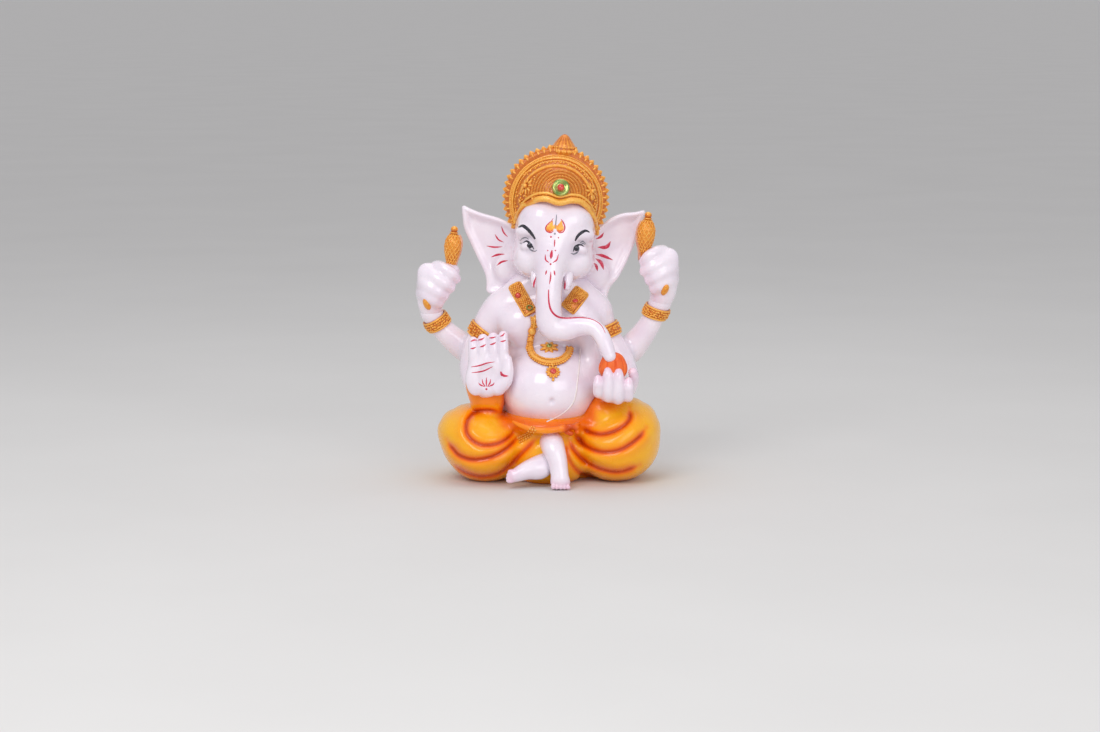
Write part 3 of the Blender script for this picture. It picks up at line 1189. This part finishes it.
def lotus_bud(bag, stalk, side):
    """A full bud with a netted face, ringed neck and ball, and the stalk that stands behind it."""
    if side == RIGHT:
        foot, top = np.array([-48.9, -1.0, 108.0]), np.array([-47.0, -1.0, 126.0])
        profile = (
            (1.6, -4.0), (2.0, 0.0), (2.3, 2.4), (3.0, 4.6), (3.7, 7.4), (4.0, 10.2), (3.8, 12.6),
            (3.1, 14.6), (2.1, 16.0), (1.6, 16.6),
        )
    else:
        foot, top = np.array([49.2, -1.0, 114.0]), np.array([51.1, -1.0, 133.2])
        profile = (
            (1.6, -4.0), (2.0, 0.0), (2.4, 2.4), (3.2, 4.6), (4.0, 7.6), (4.3, 10.6), (4.1, 13.2),
            (3.3, 15.6), (2.2, 17.2), (1.7, 17.8),
        )
    up = unit(top - foot)
    axes = basis(up, (1, 0, 0))
    radii, heights = zip(*profile)
    last = heights[-1]

    def on_bud(k, s, way, proud):
        """A place at height s on the k-th of twelve lines that wind round the bud, and the way out."""
        out = turned(axes, 2 * math.pi * k / 12 + way * s * 0.16)
        return foot + up * s + out * (np.interp(s, heights, radii) + proud), out

    lathe(bag, (*profile, (0.2, last + 0.1)), foot, up, 28)
    lathe(bag, ((1.6, last), (2.3, last + 0.5), (1.6, last + 1.1)), foot, up, 20)
    bead(bag, foot + up * (last + 2.2), up, (1.9, 1.9, 1.75), rings=8, spokes=14)
    for way in (1, -1):
        for k in range(12):
            line = [on_bud(k, s, way, 0) for s in np.linspace(1.0, last - 0.3, 22)]
            cord(bag, *zip(*line), 0.3, spokes=5)
    for s in np.arange(1.4, last, 1.22):
        for k in range(12):
            bead(bag, *on_bud(k, s, 1, 0.1), (0.42, 0.42, 0.4), rings=4, spokes=6)
    line = []
    for s in np.linspace(-3, last - 1, 14):
        aside = -side * (np.interp(s, heights, radii) + 0.1)
        line.append(foot + up * s + (aside, 1.2, 0))
    cord(stalk, line, np.tile([-side, 0.2, 0], (14, 1)), 1.05, spokes=10)


# ---------------------------------------------------------------- materials
class Recipe:
    """A material under construction: each call adds one node and returns its output."""

    def __init__(self, name, rough=0.25, coat=0.5, coat_rough=0.06, metallic=0.0):
        self.made = bpy.data.materials.new(name)
        self.made.use_nodes = True
        self.nodes, self.links = self.made.node_tree.nodes, self.made.node_tree.links
        self.shader = self.nodes["Principled BSDF"]
        self.place = self.nodes.new("ShaderNodeTexCoord").outputs["Object"]
        self.set("Roughness", rough)
        self.set("Metallic", metallic)
        self.set("Coat Weight", coat)
        self.set("Coat Roughness", coat_rough)

    def feed(self, socket, source):
        """Gives a socket a link, a colour or a number."""
        if isinstance(source, bpy.types.NodeSocket):
            self.links.new(source, socket)
        elif isinstance(source, tuple) and len(socket.default_value) == 4:
            socket.default_value = (*source, 1)
        else:
            socket.default_value = source

    def set(self, name, source):
        self.feed(self.shader.inputs[name], source)

    def noise(self, scale, detail=3.0):
        node = self.nodes.new("ShaderNodeTexNoise")
        self.feed(node.inputs["Vector"], self.place)
        self.feed(node.inputs["Scale"], scale)
        self.feed(node.inputs["Detail"], detail)
        return node.outputs["Fac"]

    def value(self, name):
        node = self.nodes.new("ShaderNodeAttribute")
        node.attribute_name = name
        return node.outputs["Fac"]

    def math(self, operation, first, second, clamp=False):
        node = self.nodes.new("ShaderNodeMath")
        node.operation = operation
        node.use_clamp = clamp
        self.feed(node.inputs[0], first)
        self.feed(node.inputs[1], second)
        return node.outputs["Value"]

    def ramp(self, source, *stops):
        """Colours, or greys, at places from 0 to 1."""
        node = self.nodes.new("ShaderNodeValToRGB")
        node.color_ramp.elements.remove(node.color_ramp.elements[1])
        for k, (at, colour) in enumerate(stops):
            stop = node.color_ramp.elements[0] if k == 0 else node.color_ramp.elements.new(at)
            stop.position = at
            stop.color = (*colour, 1) if isinstance(colour, tuple) else (colour, colour, colour, 1)
        self.links.new(source, node.inputs["Fac"])
        return node.outputs["Color"]

    def blend(self, factor, first, second):
        """A mix of two colours. A mix node's colour sockets are its inputs 6 and 7, and its output 2."""
        node = self.nodes.new("ShaderNodeMix")
        node.data_type = "RGBA"
        self.feed(node.inputs[0], factor)
        self.feed(node.inputs[6], first)
        self.feed(node.inputs[7], second)
        return node.outputs[2]

    def bump(self, height, strength, distance):
        """Adds relief, and returns the finished material."""
        node = self.nodes.new("ShaderNodeBump")
        self.feed(node.inputs["Strength"], strength)
        self.feed(node.inputs["Distance"], distance)
        self.feed(node.inputs["Height"], height)
        self.set("Normal", node.outputs["Normal"])
        return self.made


def lacquered_white():
    """Cast resin under clear lacquer: lavender white, greyer in its creases, airbrushed pink in places."""
    r = Recipe("lacquered_white_resin", coat=0.7, coat_rough=0.05)
    mottle = r.ramp(r.noise(90, 4), (0.35, (0.87, 0.765, 0.87)), (0.65, (0.94, 0.85, 0.93)))
    crease = r.ramp(r.value("crowd"), (0.5, 0.0), (0.64, 0.32), (0.85, 0.85))
    shaded = r.blend(crease, mottle, (0.50, 0.44, 0.53))
    blush = r.math("MULTIPLY", r.value("pink"), r.ramp(r.noise(260, 3), (0.3, 0.55), (0.7, 1.0)), True)
    tinted = r.blend(blush, shaded, (0.86, 0.42, 0.60))
    specks = r.ramp(r.noise(1500, 1), (0.735, 0.0), (0.76, 0.35))
    r.set("Base Color", r.blend(specks, tinted, (0.62, 0.57, 0.58)))
    r.set("Roughness", r.ramp(r.noise(140, 4), (0.3, 0.17), (0.7, 0.30)))
    r.set("Subsurface Weight", 0.06)
    r.set("Subsurface Radius", (0.004, 0.003, 0.003))
    r.set("Subsurface Scale", 0.5)
    return r.bump(r.blend(0.35, r.noise(160, 3), r.noise(1100, 2)), 0.22, 0.00035)


def gilded():
    """Orange-gold paint, brown in the hollows and brushed yellow on what stands up."""
    r = Recipe("gilded_relief", coat=0.45, coat_rough=0.12, metallic=0.18)
    uneven = r.math("MULTIPLY", r.math("SUBTRACT", r.noise(900, 3), 0.5), 0.75)
    lift = r.math("ADD", r.value("rise"), uneven, True)
    brown, yellow = (0.42, 0.085, 0.005), (0.98, 0.52, 0.09)
    stops = ((0.0, brown), (0.38, (0.67, 0.175, 0.010)), (0.7, (0.87, 0.32, 0.022)), (1.0, yellow))
    r.set("Base Color", r.ramp(lift, *stops))
    r.set("Roughness", r.ramp(r.noise(500, 3), (0.3, 0.26), (0.7, 0.44)))
    return r.bump(r.noise(1260, 3), 0.45, 0.0003)


def saffron():
    """Airbrushed cloth colour: yellow on the swells, burnt orange down the folds."""
    r = Recipe("airbrushed_saffron", coat=0.42, coat_rough=0.05)
    uneven = r.math("MULTIPLY", r.math("SUBTRACT", r.noise(110, 4), 0.5), 0.22)
    depth = r.math("ADD", r.value("dark"), uneven, True)
    stops = (
        (0.0, (1.0, 0.50, 0.010)), (0.2, (1.0, 0.36, 0.006)), (0.45, (0.95, 0.19, 0.003)),
        (0.8, (0.72, 0.085, 0.002)), (1.0, (0.50, 0.045, 0.002)),
    )
    colour = r.ramp(depth, *stops)
    crease = r.ramp(r.value("crowd"), (0.52, 0.0), (0.8, 0.5))
    r.set("Base Color", r.blend(crease, colour, (0.60, 0.075, 0.003)))
    r.set("Specular IOR Level", 0.25)
    r.set("Roughness", r.ramp(r.noise(200, 3), (0.3, 0.18), (0.7, 0.32)))
    return r.bump(r.blend(0.3, r.noise(130, 3), r.noise(900, 2)), 0.25, 0.0004)


def paint(name, colour, other, rough=0.35, metallic=0.0, coat=0.4, grain=700.0):
    """Brushed enamel whose coverage varies between two colours."""
    r = Recipe(name, coat=coat, coat_rough=0.1, metallic=metallic)
    r.set("Base Color", r.ramp(r.noise(grain, 4), (0.33, colour), (0.68, other)))
    r.set("Roughness", r.ramp(r.noise(grain * 0.6, 3), (0.3, rough * 0.8), (0.7, rough * 1.2)))
    return r.bump(r.noise(grain * 1.5, 3), 0.3, 0.0002)


def sweet_paint():
    """Satin orange-red over a slightly grainy sweet."""
    r = Recipe("sweet_orange", coat=0.15, coat_rough=0.3)
    colour = r.ramp(r.noise(220, 5), (0.3, (0.86, 0.11, 0.010)), (0.7, (0.97, 0.19, 0.020)))
    crease = r.ramp(r.value("crowd"), (0.5, 0.0), (0.8, 0.6))
    r.set("Base Color", r.blend(crease, colour, (0.62, 0.055, 0.006)))
    r.set("Roughness", r.ramp(r.noise(300, 3), (0.3, 0.42), (0.7, 0.62)))
    return r.bump(r.noise(900, 4), 0.5, 0.0005)


def floor_material():
    """A pale, matt floor."""
    r = Recipe("pale_floor", coat=0.0)
    r.set("Base Color", r.ramp(r.noise(7, 4), (0.3, (0.70, 0.69, 0.68)), (0.7, (0.72, 0.71, 0.70))))
    r.set("Roughness", 0.9)
    r.set("Specular IOR Level", 0.1)
    return r.made


white = lacquered_white()
gold = gilded()
cloth = saffron()
ivory = paint("ivory_enamel", (0.84, 0.75, 0.76), (0.92, 0.84, 0.83), 0.25)
peach = paint("peach_stalk", (0.72, 0.30, 0.18), (0.86, 0.50, 0.34), 0.3)
red = paint("crimson_line", (0.55, 0.010, 0.048), (0.74, 0.035, 0.10), 0.28)
black = paint("black_line", (0.006, 0.006, 0.012), (0.03, 0.03, 0.05), 0.25)
grey = paint("grey_line", (0.13, 0.13, 0.17), (0.28, 0.28, 0.33), 0.3)
flame = paint("flame_yellow", (0.90, 0.28, 0.02), (0.98, 0.55, 0.05), 0.3, grain=330.0)
ember = paint("ember_orange", (0.85, 0.10, 0.02), (0.92, 0.22, 0.04), 0.3, grain=330.0)
green = paint("green_gold_foil", (0.16, 0.32, 0.06), (0.60, 0.58, 0.16), 0.2, 0.75, coat=0.8, grain=420.0)
ruby = paint("ruby_paste", (0.52, 0.018, 0.012), (0.80, 0.06, 0.03), 0.15, coat=1.0, grain=500.0)
modak = sweet_paint()

# ---------------------------------------------------------------- pieces: the casting
def gold_piece(name, bag, *nodes):
    bag_object(name, bag, gold, nodes, "paint_gold")


def cast_piece(name, clay, material, nodes, slot, reach, pink=()):
    """A sculpted piece with its creases, looked for within reach, and its blushes written on its points."""
    points, faces = clay.mesh()
    blush = np.zeros(len(points))
    for place, radius, share in pink:
        near = ((points - np.array(place)) ** 2).sum(1) / radius**2
        blush = np.maximum(blush, share * np.exp(-near))
    values = {"crowd": clay.sample(clay.crowding(reach), points), "pink": blush}
    make_object(name, points, faces, values, material, nodes, slot)
    return points, faces


def white_piece(name, clay, nodes, reach, tips=(), radius=0, share=0, also=()):
    """A piece of bare resin, blushed pink about its tips."""
    pink = [*((tip, radius, share) for tip in tips), *also]
    return cast_piece(name, clay, white, nodes, "resin_white", reach, pink)


def cloth_darkness(points, dark):
    """How deep the airbrushed orange is at points of the cloth, from 0 to 1."""
    x, y, z = points.T
    creases = on_front(dark, x, y, z) * rising(-y, -9, 16)
    behind = 0.26 * back_swags(x, z) * rising(y, *BEHIND)
    lower_edge = 0.3 * np.exp(-np.maximum(z - 1.0, 0) / 2.2)
    waist = 0.55 * np.exp(-((np.hypot(x - 1, (y + 7) * 0.95) - 25) / 5) ** 2) * rising(z, 22, 8)
    cuff = 0.5 * np.exp(-((x + 30.5) ** 2 + (y + 18) ** 2) / 200) * rising(z, 37, 4)
    mound = 0.6 * np.exp(-((x - 26) ** 2 + (y + 18) ** 2) / 110) * rising(z, 34, 5)
    knot = 0.85 * np.exp(-(np.linalg.norm(points - KNOT, axis=1) / 5.0) ** 4)
    return np.maximum.reduce([creases, behind, lower_edge, waist, cuff, mound, knot])


arms = ("front_arm_right", "front_arm_left", "rear_arm_right", "rear_arm_left")
body_mesh = white_piece("torso_and_arms", sculpt_body(), ("torso", *arms), 2.2)
head_mesh = white_piece("head_trunk_ears", sculpt_head(), ("head", "trunk", "ear_right", "ear_left"), 1.8)
solid_meshes = [body_mesh, head_mesh]
for side, name, wrist in ((RIGHT, "right", (-54.0, -3.0, 86.0)), (LEFT, "left", (53.8, -3.0, 94.0))):
    clay, tips = sculpt_fist(side)
    nodes = (f"rear_hand_{name}",)
    solid_meshes.append(white_piece(f"fist_{name}", clay, nodes, 1.1, tips, 3.4, 0.4, [(wrist, 5.5, 0.32)]))
clay, tips = sculpt_palm()
solid_meshes.append(white_piece("palm_right", clay, ("front_hand_right",), 1.1, tips, 3.0, 0.22))
clay, tips = sculpt_cup()
solid_meshes.append(white_piece("cup_left", clay, ("front_hand_left",), 1.0, tips, 3.8, 0.62))
solid_meshes.append(cast_piece("modak", sculpt_sweet(), modak, ("modak_sweet",), "paint_orange", 1.0))
clay, toes = sculpt_legs()
solid_meshes.append(white_piece("legs_and_feet", clay, ("leg_left", "foot_right"), 1.2, toes, 3.0, 0.75))

push, dark = crease_maps()
clay = sculpt_dhoti(push)
points, faces = clay.mesh()
values = {"crowd": clay.sample(clay.crowding(1.6), points), "dark": cloth_darkness(points, dark)}
cloth_nodes = ("dhoti", "waist_sash", "waist_knot", "front_bracelet_right")
make_object("dhoti_cloth", points, faces, values, cloth, cloth_nodes, "paint_saffron")
solid_meshes.append((points, faces))

crown_mesh = sculpt_crown().mesh()
hollow = {"rise": np.full(len(crown_mesh[0]), 0.3)}
make_object("crown_shell", *crown_mesh, hollow, gold, ("crown_cap",), "paint_gold")
solid_meshes.append(crown_mesh)
skin = Skin(*solid_meshes)
crown_skin = Skin(crown_mesh)

# ---------------------------------------------------------------- pieces: crown
gold_piece("crown_ornament", crown_relief(crown_skin), "crown_halo", "crown_rosettes")
bag = Bag()
crown_band(bag, Skin(crown_mesh, head_mesh), crown_skin, Skin(head_mesh))
gold_piece("brow_band", bag, "crown_band")
bag = Bag()
finial(bag)
gold_piece("finial", bag, "crown_finial")
ring_bag, stone_bag = Bag(), Bag()
gem(ring_bag, stone_bag, crown_skin, 6.8, 149.3, 4.4, 1.9, 2.4)
bag_object("gem_setting", ring_bag, green, ("crown_gem_ring",), "metallic_green")
bag_object("gem_stone", stone_bag, ruby, ("crown_gem",), "stone_red")

# ---------------------------------------------------------------- pieces: jewellery
body_skin = Skin(body_mesh)
stones = Bag()
for name, path, wide, stone, setting in (
    ("right", [(-16.4, 101.4), (-12.5, 94.4), (-7.9, 86.2)], 6.4, (-14.3, 95.8), (-8.9, 88.7)),
    ("left", [(17.8, 98.6), (14.0, 93.4), (10.0, 88.4)], 7.6, (14.2, 91.9), None),
):
    bag = Bag()
    collar(bag, body_skin, path, wide, [(*stone, 2.0)] + ([(*setting, 2.0)] if setting else []))
    set_stone(bag, stones, body_skin, *stone, 1.45, 1.6)
    if setting:
        ring = Bag()
        set_stone(ring, None, body_skin, *setting, 1.0, 2.0)
        bag_object("collar_ring", ring, green, (), "metallic_green")
    gold_piece(f"collar_band_{name}", bag, f"collar_{name}")
bag_object("collar_gems", stones, ruby, ("collar_stones",), "stone_red")

bag = Bag()
chain = [(-7.0, 85.0), (-6.4, 82.0), (-7.4, 78.0), (-8.4, 73.6), (-8.6, 69.8)]
cord_seen(bag, skin, chain, (1.1, 0.9, 0.9, 1.0), 40, out=0.4)
grain_strip(bag, skin, chain, 2.2, 1.05, 0.72, rows=3, lift=0.7)
for x, z, r in ((-6.0, 83.8, 1.5), (-7.6, 78.0, 2.2), (-8.3, 74.4, 1.5)):
    got = seen(skin, x, z)
    bead(bag, got[0] + got[1] * 0.8, got[1], (r, r, r * 0.8), rings=8, spokes=12)
garland = [(-8.4, 69.4), (-7.7, 66.4), (-5.8, 64.0), (-2.4, 62.3), (1.5, 61.6), (5.8, 62.2), (9.0, 64.1),
           (10.8, 66.6), (11.2, 69.2)]
cord_seen(bag, skin, garland, (1.5, 1.4, 1.4, 1.5), 80, out=0.1)
grain_strip(bag, skin, garland, 2.8, 0.95, 0.68, rows=4, lift=0.9)
gold_piece("necklace_chain", bag, "necklace")

bag, stones = Bag(), Bag()
at, normal = seen(skin, 1.1, 69.3)
axes = basis(normal)
for k, way in enumerate(ways_round(axes, 8, 0.5)):
    long = 1.9 + 0.5 * math.sin(3.1 * k)
    bead(bag, at + way * 2.6 + normal * 0.6, normal, (long, 1.05, 0.85), way, 6, 9)
    bead(bag, at + way * (2.4 + long) + normal * 0.4, normal, (0.7, 0.65, 0.55), way, 4, 7)
bead(bag, at + normal * 0.7, normal, (1.5, 1.5, 0.9), rings=8, spokes=12)
gold_piece("brooch_star", bag, "brooch")
bead(stones, at + normal * 1.4 + axes[0] * 0.3, normal, (1.4, 1.4, 0.8), rings=8, spokes=14)
bag_object("brooch_gem", stones, green, ("brooch_stone",), "metallic_green")

bag, stones = Bag(), Bag()
at, normal = seen(skin, 3.0, 57.1)
bead(bag, at + normal * 0.1, normal, (3.1, 3.1, 1.0), rings=8, spokes=18)
for way in ways_round(basis(normal), 12):
    bead(bag, at + way * 3.0 + normal * 0.35, normal, (0.75, 0.7, 0.65), way, 5, 8)
    bead(bag, at + way * 1.95 + normal * 0.95, normal, (0.42, 0.4, 0.4), way, 4, 6)
for x, z, proud, across in ((3.0, 53.2, 0.3, 0.85), (2.4, 61.0, 0.8, 0.8)):
    got = seen(skin, x, z)
    bead(bag, got[0] + got[1] * proud, got[1], (0.9, across, 0.8), rings=5, spokes=8)
gold_piece("pendant_disc", bag, "pendant")
bead(stones, at + normal * 1.1, normal, (1.6, 1.6, 0.8), rings=8, spokes=14)
bag_object("pendant_gem", stones, ruby, ("pendant_stone",), "stone_red")

for name, centre, heading, reach, half in (
    ("armlet_right", (-31.4, 1.5, 71.6), (-0.75, 0.0, -1.0), 10.2, 2.9),
    ("armlet_left", (28.2, 1.5, 74.2), (0.36, 0.0, -1.0), 10.2, 2.9),
    ("rear_bracelet_right", (-56.3, 4.4, 78.9), (-0.5, -0.2, 0.85), 10, 2.5),
    ("rear_bracelet_left", (55.6, 4.3, 84.2), (0.3, -0.15, 0.94), 10, 2.5),
):
    bag = Bag()
    limb_band(bag, body_skin, centre, heading, reach, half)
    gold_piece(f"{name}_band", bag, name)

for side, name, x, z in ((RIGHT, "right", -60.0, 91.3), (LEFT, "left", 58.9, 98.5)):
    bag = Bag()
    bead(bag, *seen(skin, x, z), (3.7, 1.9, 1.5), rings=12, spokes=20, rise=0.75)
    gold_piece(f"hand_oval_{name}", bag, f"hand_jewel_{name}")
    bag, stalk = Bag(), Bag()
    lotus_bud(bag, stalk, side)
    gold_piece(f"bud_{name}", bag, f"lotus_bud_{name}")
    bag_object(f"bud_stalk_{name}", stalk, peach, (), "paint_orange")

bag = Bag()
thread = [(16.6, 69.0), (16.1, 60.0), (15.3, 53.0), (14.3, 45.3), (12.0, 40.0), (6.6, 35.2), (-0.2, 31.9)]
cord_seen(bag, skin, thread, (0.42, 0.5, 0.5, 0.4), 90, out=0.0, high=0.8)
bag_object("thread_line", bag, ivory, ("sacred_thread",), "resin_ivory")

bag = Bag()
tusk = ((7.4, -15.0, 111.0, 2.4), (8.2, -18.8, 107.0, 2.5), (8.3, -21.0, 103.5, 2.3),
        (7.9, -22.0, 100.4, 1.9))
for side in (RIGHT, LEFT):
    s = spline([(*head_point(side * x, y, z), r) for x, y, z, r in tusk], 22)
    cord(bag, s[:, :3], np.tile([0.0, -1.0, 0.4], (22, 1)), s[:, 3], 14)
    bead(bag, s[-1, :3], (0, -0.4, -1), s[-1, 3], rings=8, spokes=14)
tusk_skin = Skin(head_mesh, bag.mesh())
bag_object("tusks", bag, white, ("tusk_right", "tusk_left"), "resin_ivory")

bag = Bag()
hem = [(-14.2, 22.4), (-11.2, 24.0), (-8.6, 26.2), (-6.8, 28.4)]
grain_strip(bag, skin, hem, 2.4, 1.0, 0.58, rows=3, lift=0.25)
gold_piece("hem_trim", bag, "dhoti_hem")

# ---------------------------------------------------------------- painted lines
reds, blacks, greys, flames, embers = Bag(), Bag(), Bag(), Bag(), Bag()
trunk_line = [
    (0.8, 98.7), (0.8, 94.9), (1.2, 91.0), (2.5, 87.6), (5.4, 85.1), (9.8, 84.4), (15.9, 84.7),
    (20.4, 84.3), (24.3, 83.0), (27.4, 80.4), (29.2, 76.8),
]
stroke(reds, skin, trunk_line, (0.6, 1.0, 1.25, 1.25, 0.9, 0.75, 0.55, 0.45, 0.3))
for path, wide in (
    ([(-0.2, 108.4), (-0.7, 106.1)], 1.0), ([(1.9, 107.7), (1.8, 104.9), (1.2, 101.3)], 1.0),
    ([(3.5, 108.4), (4.0, 105.7)], 1.0), ([(-22.7, 130.4), (-21.6, 127.4), (-19.5, 125.0)], 1.0),
    ([(-25.9, 126.4), (-24.2, 123.8), (-21.5, 122.4)], 1.0),
    ([(-30.1, 120.6), (-26.2, 120.0), (-22.2, 120.2)], 1.1),
    ([(-27.8, 115.0), (-24.6, 116.2), (-21.1, 116.5)], 1.3),
    ([(-25.0, 110.8), (-22.6, 112.6), (-19.5, 113.3)], 1.3),
    ([(28.2, 127.2), (26.8, 125.2), (24.3, 124.0)], 1.5),
    ([(31.7, 122.9), (29.6, 120.1), (25.2, 119.9)], 2.3),
    ([(24.3, 116.4), (28.0, 115.6), (32.9, 113.5)], 1.8),
    ([(24.2, 114.3), (27.0, 112.2), (28.3, 108.6)], 2.1),
    ([(23.4, 112.0), (24.6, 110.6), (25.2, 108.0)], 1.7),
):
    stroke(reds, skin, path, (0.25, wide, wide * 0.9, 0.2))

for path in ([(-5.5, 105.0), (-6.5, 101.8), (-6.6, 98.3)], [(9.0, 103.4), (8.9, 99.9), (8.3, 97.2)]):
    stroke(reds, tusk_skin, path, (0.25, 1.2, 1.1, 0.2))

# Forehead: two flames side by side, a line between them, and dots below.
for x, tip in ((1.5, 2.7), (6.5, 7.2)):
    dot(flames, skin, x, 129.5, 2.15)
    stroke(flames, skin, [(x, 130.2), (0.5 * (x + tip) + 0.1, 131.8), (tip, 133.2)], (3.6, 2.2, 0.4))
    stroke(embers, skin, [(x - 1.2, 128.6), (x, 128.0), (x + 1.2, 128.6)], (0.5, 1.5, 0.5), lift=0.16)
dot(flames, skin, 4.0, 130.2, 1.2)
for path, second, fourth in (
    ([(3.1, 134.3), (2.1, 132.9), (0.5, 131.5), (-0.6, 129.9), (-0.2, 128.0), (1.9, 127.2), (3.3, 128.2)],
     0.6, 0.7),
    ([(7.0, 134.0), (8.3, 131.9), (8.9, 129.6), (8.0, 127.6), (6.2, 127.2), (4.9, 128.3)], 0.8, 0.6),
):
    stroke(reds, skin, path, (0.3, second, 0.7, fourth, 0.3), lift=0.14)
stroke(greys, skin, [(4.8, 136.2), (4.5, 133.0), (4.1, 129.4)], (0.3, 0.6, 0.6, 0.3), lift=0.2)
for bag, x, z, r in ((greys, 3.9, 126.7, 0.55), (reds, 2.0, 125.1, 0.55), (reds, 5.7, 124.7, 0.4)):
    dot(bag, skin, x, z, r)
stroke(reds, skin, [(3.9, 123.7), (3.7, 120.3)], (0.6, 0.85, 0.5))

# Between the eyes: a drop with two leaves and two dots.
stroke(reds, skin, [(2.5, 118.6), (2.2, 116.4), (2.0, 114.2)], (0.4, 1.6, 2.1, 0.6))
for side in (RIGHT, LEFT):
    leaf = [(2.0 + side * 0.9, 112.2), (2.1 + side * 2.7, 113.6), (2.4 + side * 3.3, 116.4)]
    stroke(reds, skin, leaf, (0.3, 1.0, 0.9, 0.25))
    dot(reds, skin, 2.3 + side * 1.9, 118.3, 0.4)
dot(reds, skin, 1.8, 111.5, 0.55)

# Brows, then eyes: a dark iris under a heavy lid, grey folds above and a line below.
stroke(blacks, skin, [(-14.2, 129.9), (-12.1, 130.6), (-9.8, 129.1), (-7.5, 126.4), (-5.9, 124.0)],
       (0.8, 2.1, 2.1, 1.9, 1.0))
stroke(blacks, skin, [(14.0, 123.1), (15.2, 125.3), (17.0, 127.1), (19.3, 128.2), (21.2, 127.4)],
       (0.9, 1.9, 2.0, 1.7, 0.7))
for iris, lid, folds, lower in (
    ((-8.6, 120.8), [(-11.9, 122.1), (-10.2, 123.0), (-8.9, 122.2), (-7.5, 120.6), (-6.5, 118.9)],
     ([(-13.7, 122.0), (-12.9, 121.9), (-12.0, 122.1)],
      [(-13.4, 123.3), (-12.1, 124.4), (-10.4, 124.7), (-9.1, 123.8)]),
     [(-9.6, 120.2), (-7.9, 118.5), (-6.0, 117.9), (-5.1, 118.6)]),
    ((14.8, 119.4), [(13.1, 117.8), (13.9, 119.9), (15.4, 121.0), (17.0, 121.1), (18.5, 120.3)],
     ([(16.4, 122.0), (17.9, 122.9), (19.3, 121.6)], [(17.0, 121.3), (18.0, 121.8), (19.0, 121.2)]),
     [(11.9, 116.9), (13.5, 116.5), (15.2, 117.5), (16.2, 119.2)]),
):
    dot(blacks, skin, *iris, 1.6)
    dot(greys, skin, iris[0] - 0.4, iris[1] + 0.55, 0.36, lift=0.22)
    stroke(blacks, skin, lid, (0.5, 1.2, 1.5, 1.1, 0.4))
    for path in folds:
        stroke(greys, skin, path, (0.3, 0.75, 0.3))
    stroke(greys, skin, lower, (0.35, 0.8, 0.8, 0.4))

# Palm: two rows of dashes, two long lines, a small lotus of strokes and a comma on the thumb.
for path in (
    [(-38.2, 72.6), (-36.6, 73.3), (-34.9, 73.3)], [(-34.4, 73.2), (-32.8, 73.7), (-31.3, 74.6)],
    [(-28.9, 74.4), (-27.3, 74.5), (-25.6, 75.0)], [(-23.5, 75.2), (-22.3, 75.6), (-21.2, 76.9)],
    [(-38.3, 69.0), (-37.0, 69.1), (-35.6, 69.8)], [(-33.6, 69.8), (-32.2, 70.2), (-30.6, 71.2)],
    [(-28.6, 71.0), (-27.2, 71.3), (-25.6, 72.2)], [(-23.3, 72.6), (-22.0, 72.7), (-20.6, 73.3)],
):
    stroke(reds, skin, path, (0.4, 1.1, 1.0, 0.3))
stroke(reds, skin, [(-38.1, 59.7), (-34.0, 60.4), (-30.0, 61.7), (-26.3, 62.3)], (0.3, 0.9, 0.9, 0.3))
stroke(reds, skin, [(-37.8, 56.8), (-32.2, 57.6), (-27.2, 59.9)], (0.3, 0.9, 0.9, 0.3))
stroke(reds, skin, [(-23.3, 57.4), (-22.5, 55.8), (-21.0, 55.2), (-19.3, 55.2)], (0.7, 1.8, 1.5, 0.3))
for dx, top in ((-3.9, 51.8), (-2.1, 53.6), (0.0, 54.4), (2.1, 53.6), (3.9, 51.8)):
    petal = [(-30.4 + dx * 0.25, 49.8), (-30.4 + dx * 0.85, 0.5 * (49.8 + top)), (-30.4 + dx, top)]
    stroke(reds, skin, petal, (0.4, 1.0, 0.3))
dot(reds, skin, -30.4, 48.5, 0.6)

for name, bag, material in (
    ("crimson", reds, red), ("black", blacks, black), ("grey", greys, grey), ("flame", flames, flame),
    ("ember", embers, ember),
):
    bag_object(f"paint_{name}", bag, material)

# ---------------------------------------------------------------- camera, light and floor
def aimed(name, data, at):
    """A camera or lamp at a place, turned to the idol."""
    thing = bpy.data.objects.new(name, data)
    thing.location = at
    thing.rotation_euler = (Vector(to_frame(TARGET)) - Vector(at)).to_track_quat("-Z", "Y").to_euler()
    bpy.context.scene.collection.objects.link(thing)
    return thing


def lamp(name, at, size, power):
    data = bpy.data.lights.new(name, "AREA")
    data.shape = "RECTANGLE"
    data.size, data.size_y = size
    data.energy = power
    aimed(name, data, at)


camera_data = bpy.data.cameras.new("camera")
camera_data.lens = 89.8
camera_data.sensor_width = 36
bpy.context.scene.camera = aimed("camera", camera_data, to_frame(EYE))
lamp("key", (-0.35, -0.75, 0.75), (0.5, 0.5), 3.3)
lamp("fill", (0.5, -1.0, 0.4), (0.7, 0.6), 2.5)
lamp("top", (0.0, 0.1, 0.9), (0.6, 0.6), 1.4)

world = bpy.data.worlds.new("room")
world.use_nodes = True
world.node_tree.nodes["Background"].inputs["Color"].default_value = (0.80, 0.80, 0.82, 1)
world.node_tree.nodes["Background"].inputs["Strength"].default_value = 0.74
bpy.context.scene.world = world
bpy.context.scene.view_settings.view_transform = "Standard"

FLOOR = 60  # half its width, in metres
floor_mesh = bpy.data.meshes.new("floor")
corners = [(-FLOOR, -FLOOR, 0), (FLOOR, -FLOOR, 0), (FLOOR, FLOOR, 0), (-FLOOR, FLOOR, 0)]
floor_mesh.from_pydata(corners, [], [(0, 1, 2, 3)])
floor = bpy.data.objects.new("floor", floor_mesh)
bpy.context.scene.collection.objects.link(floor)
floor_mesh.materials.append(floor_material())
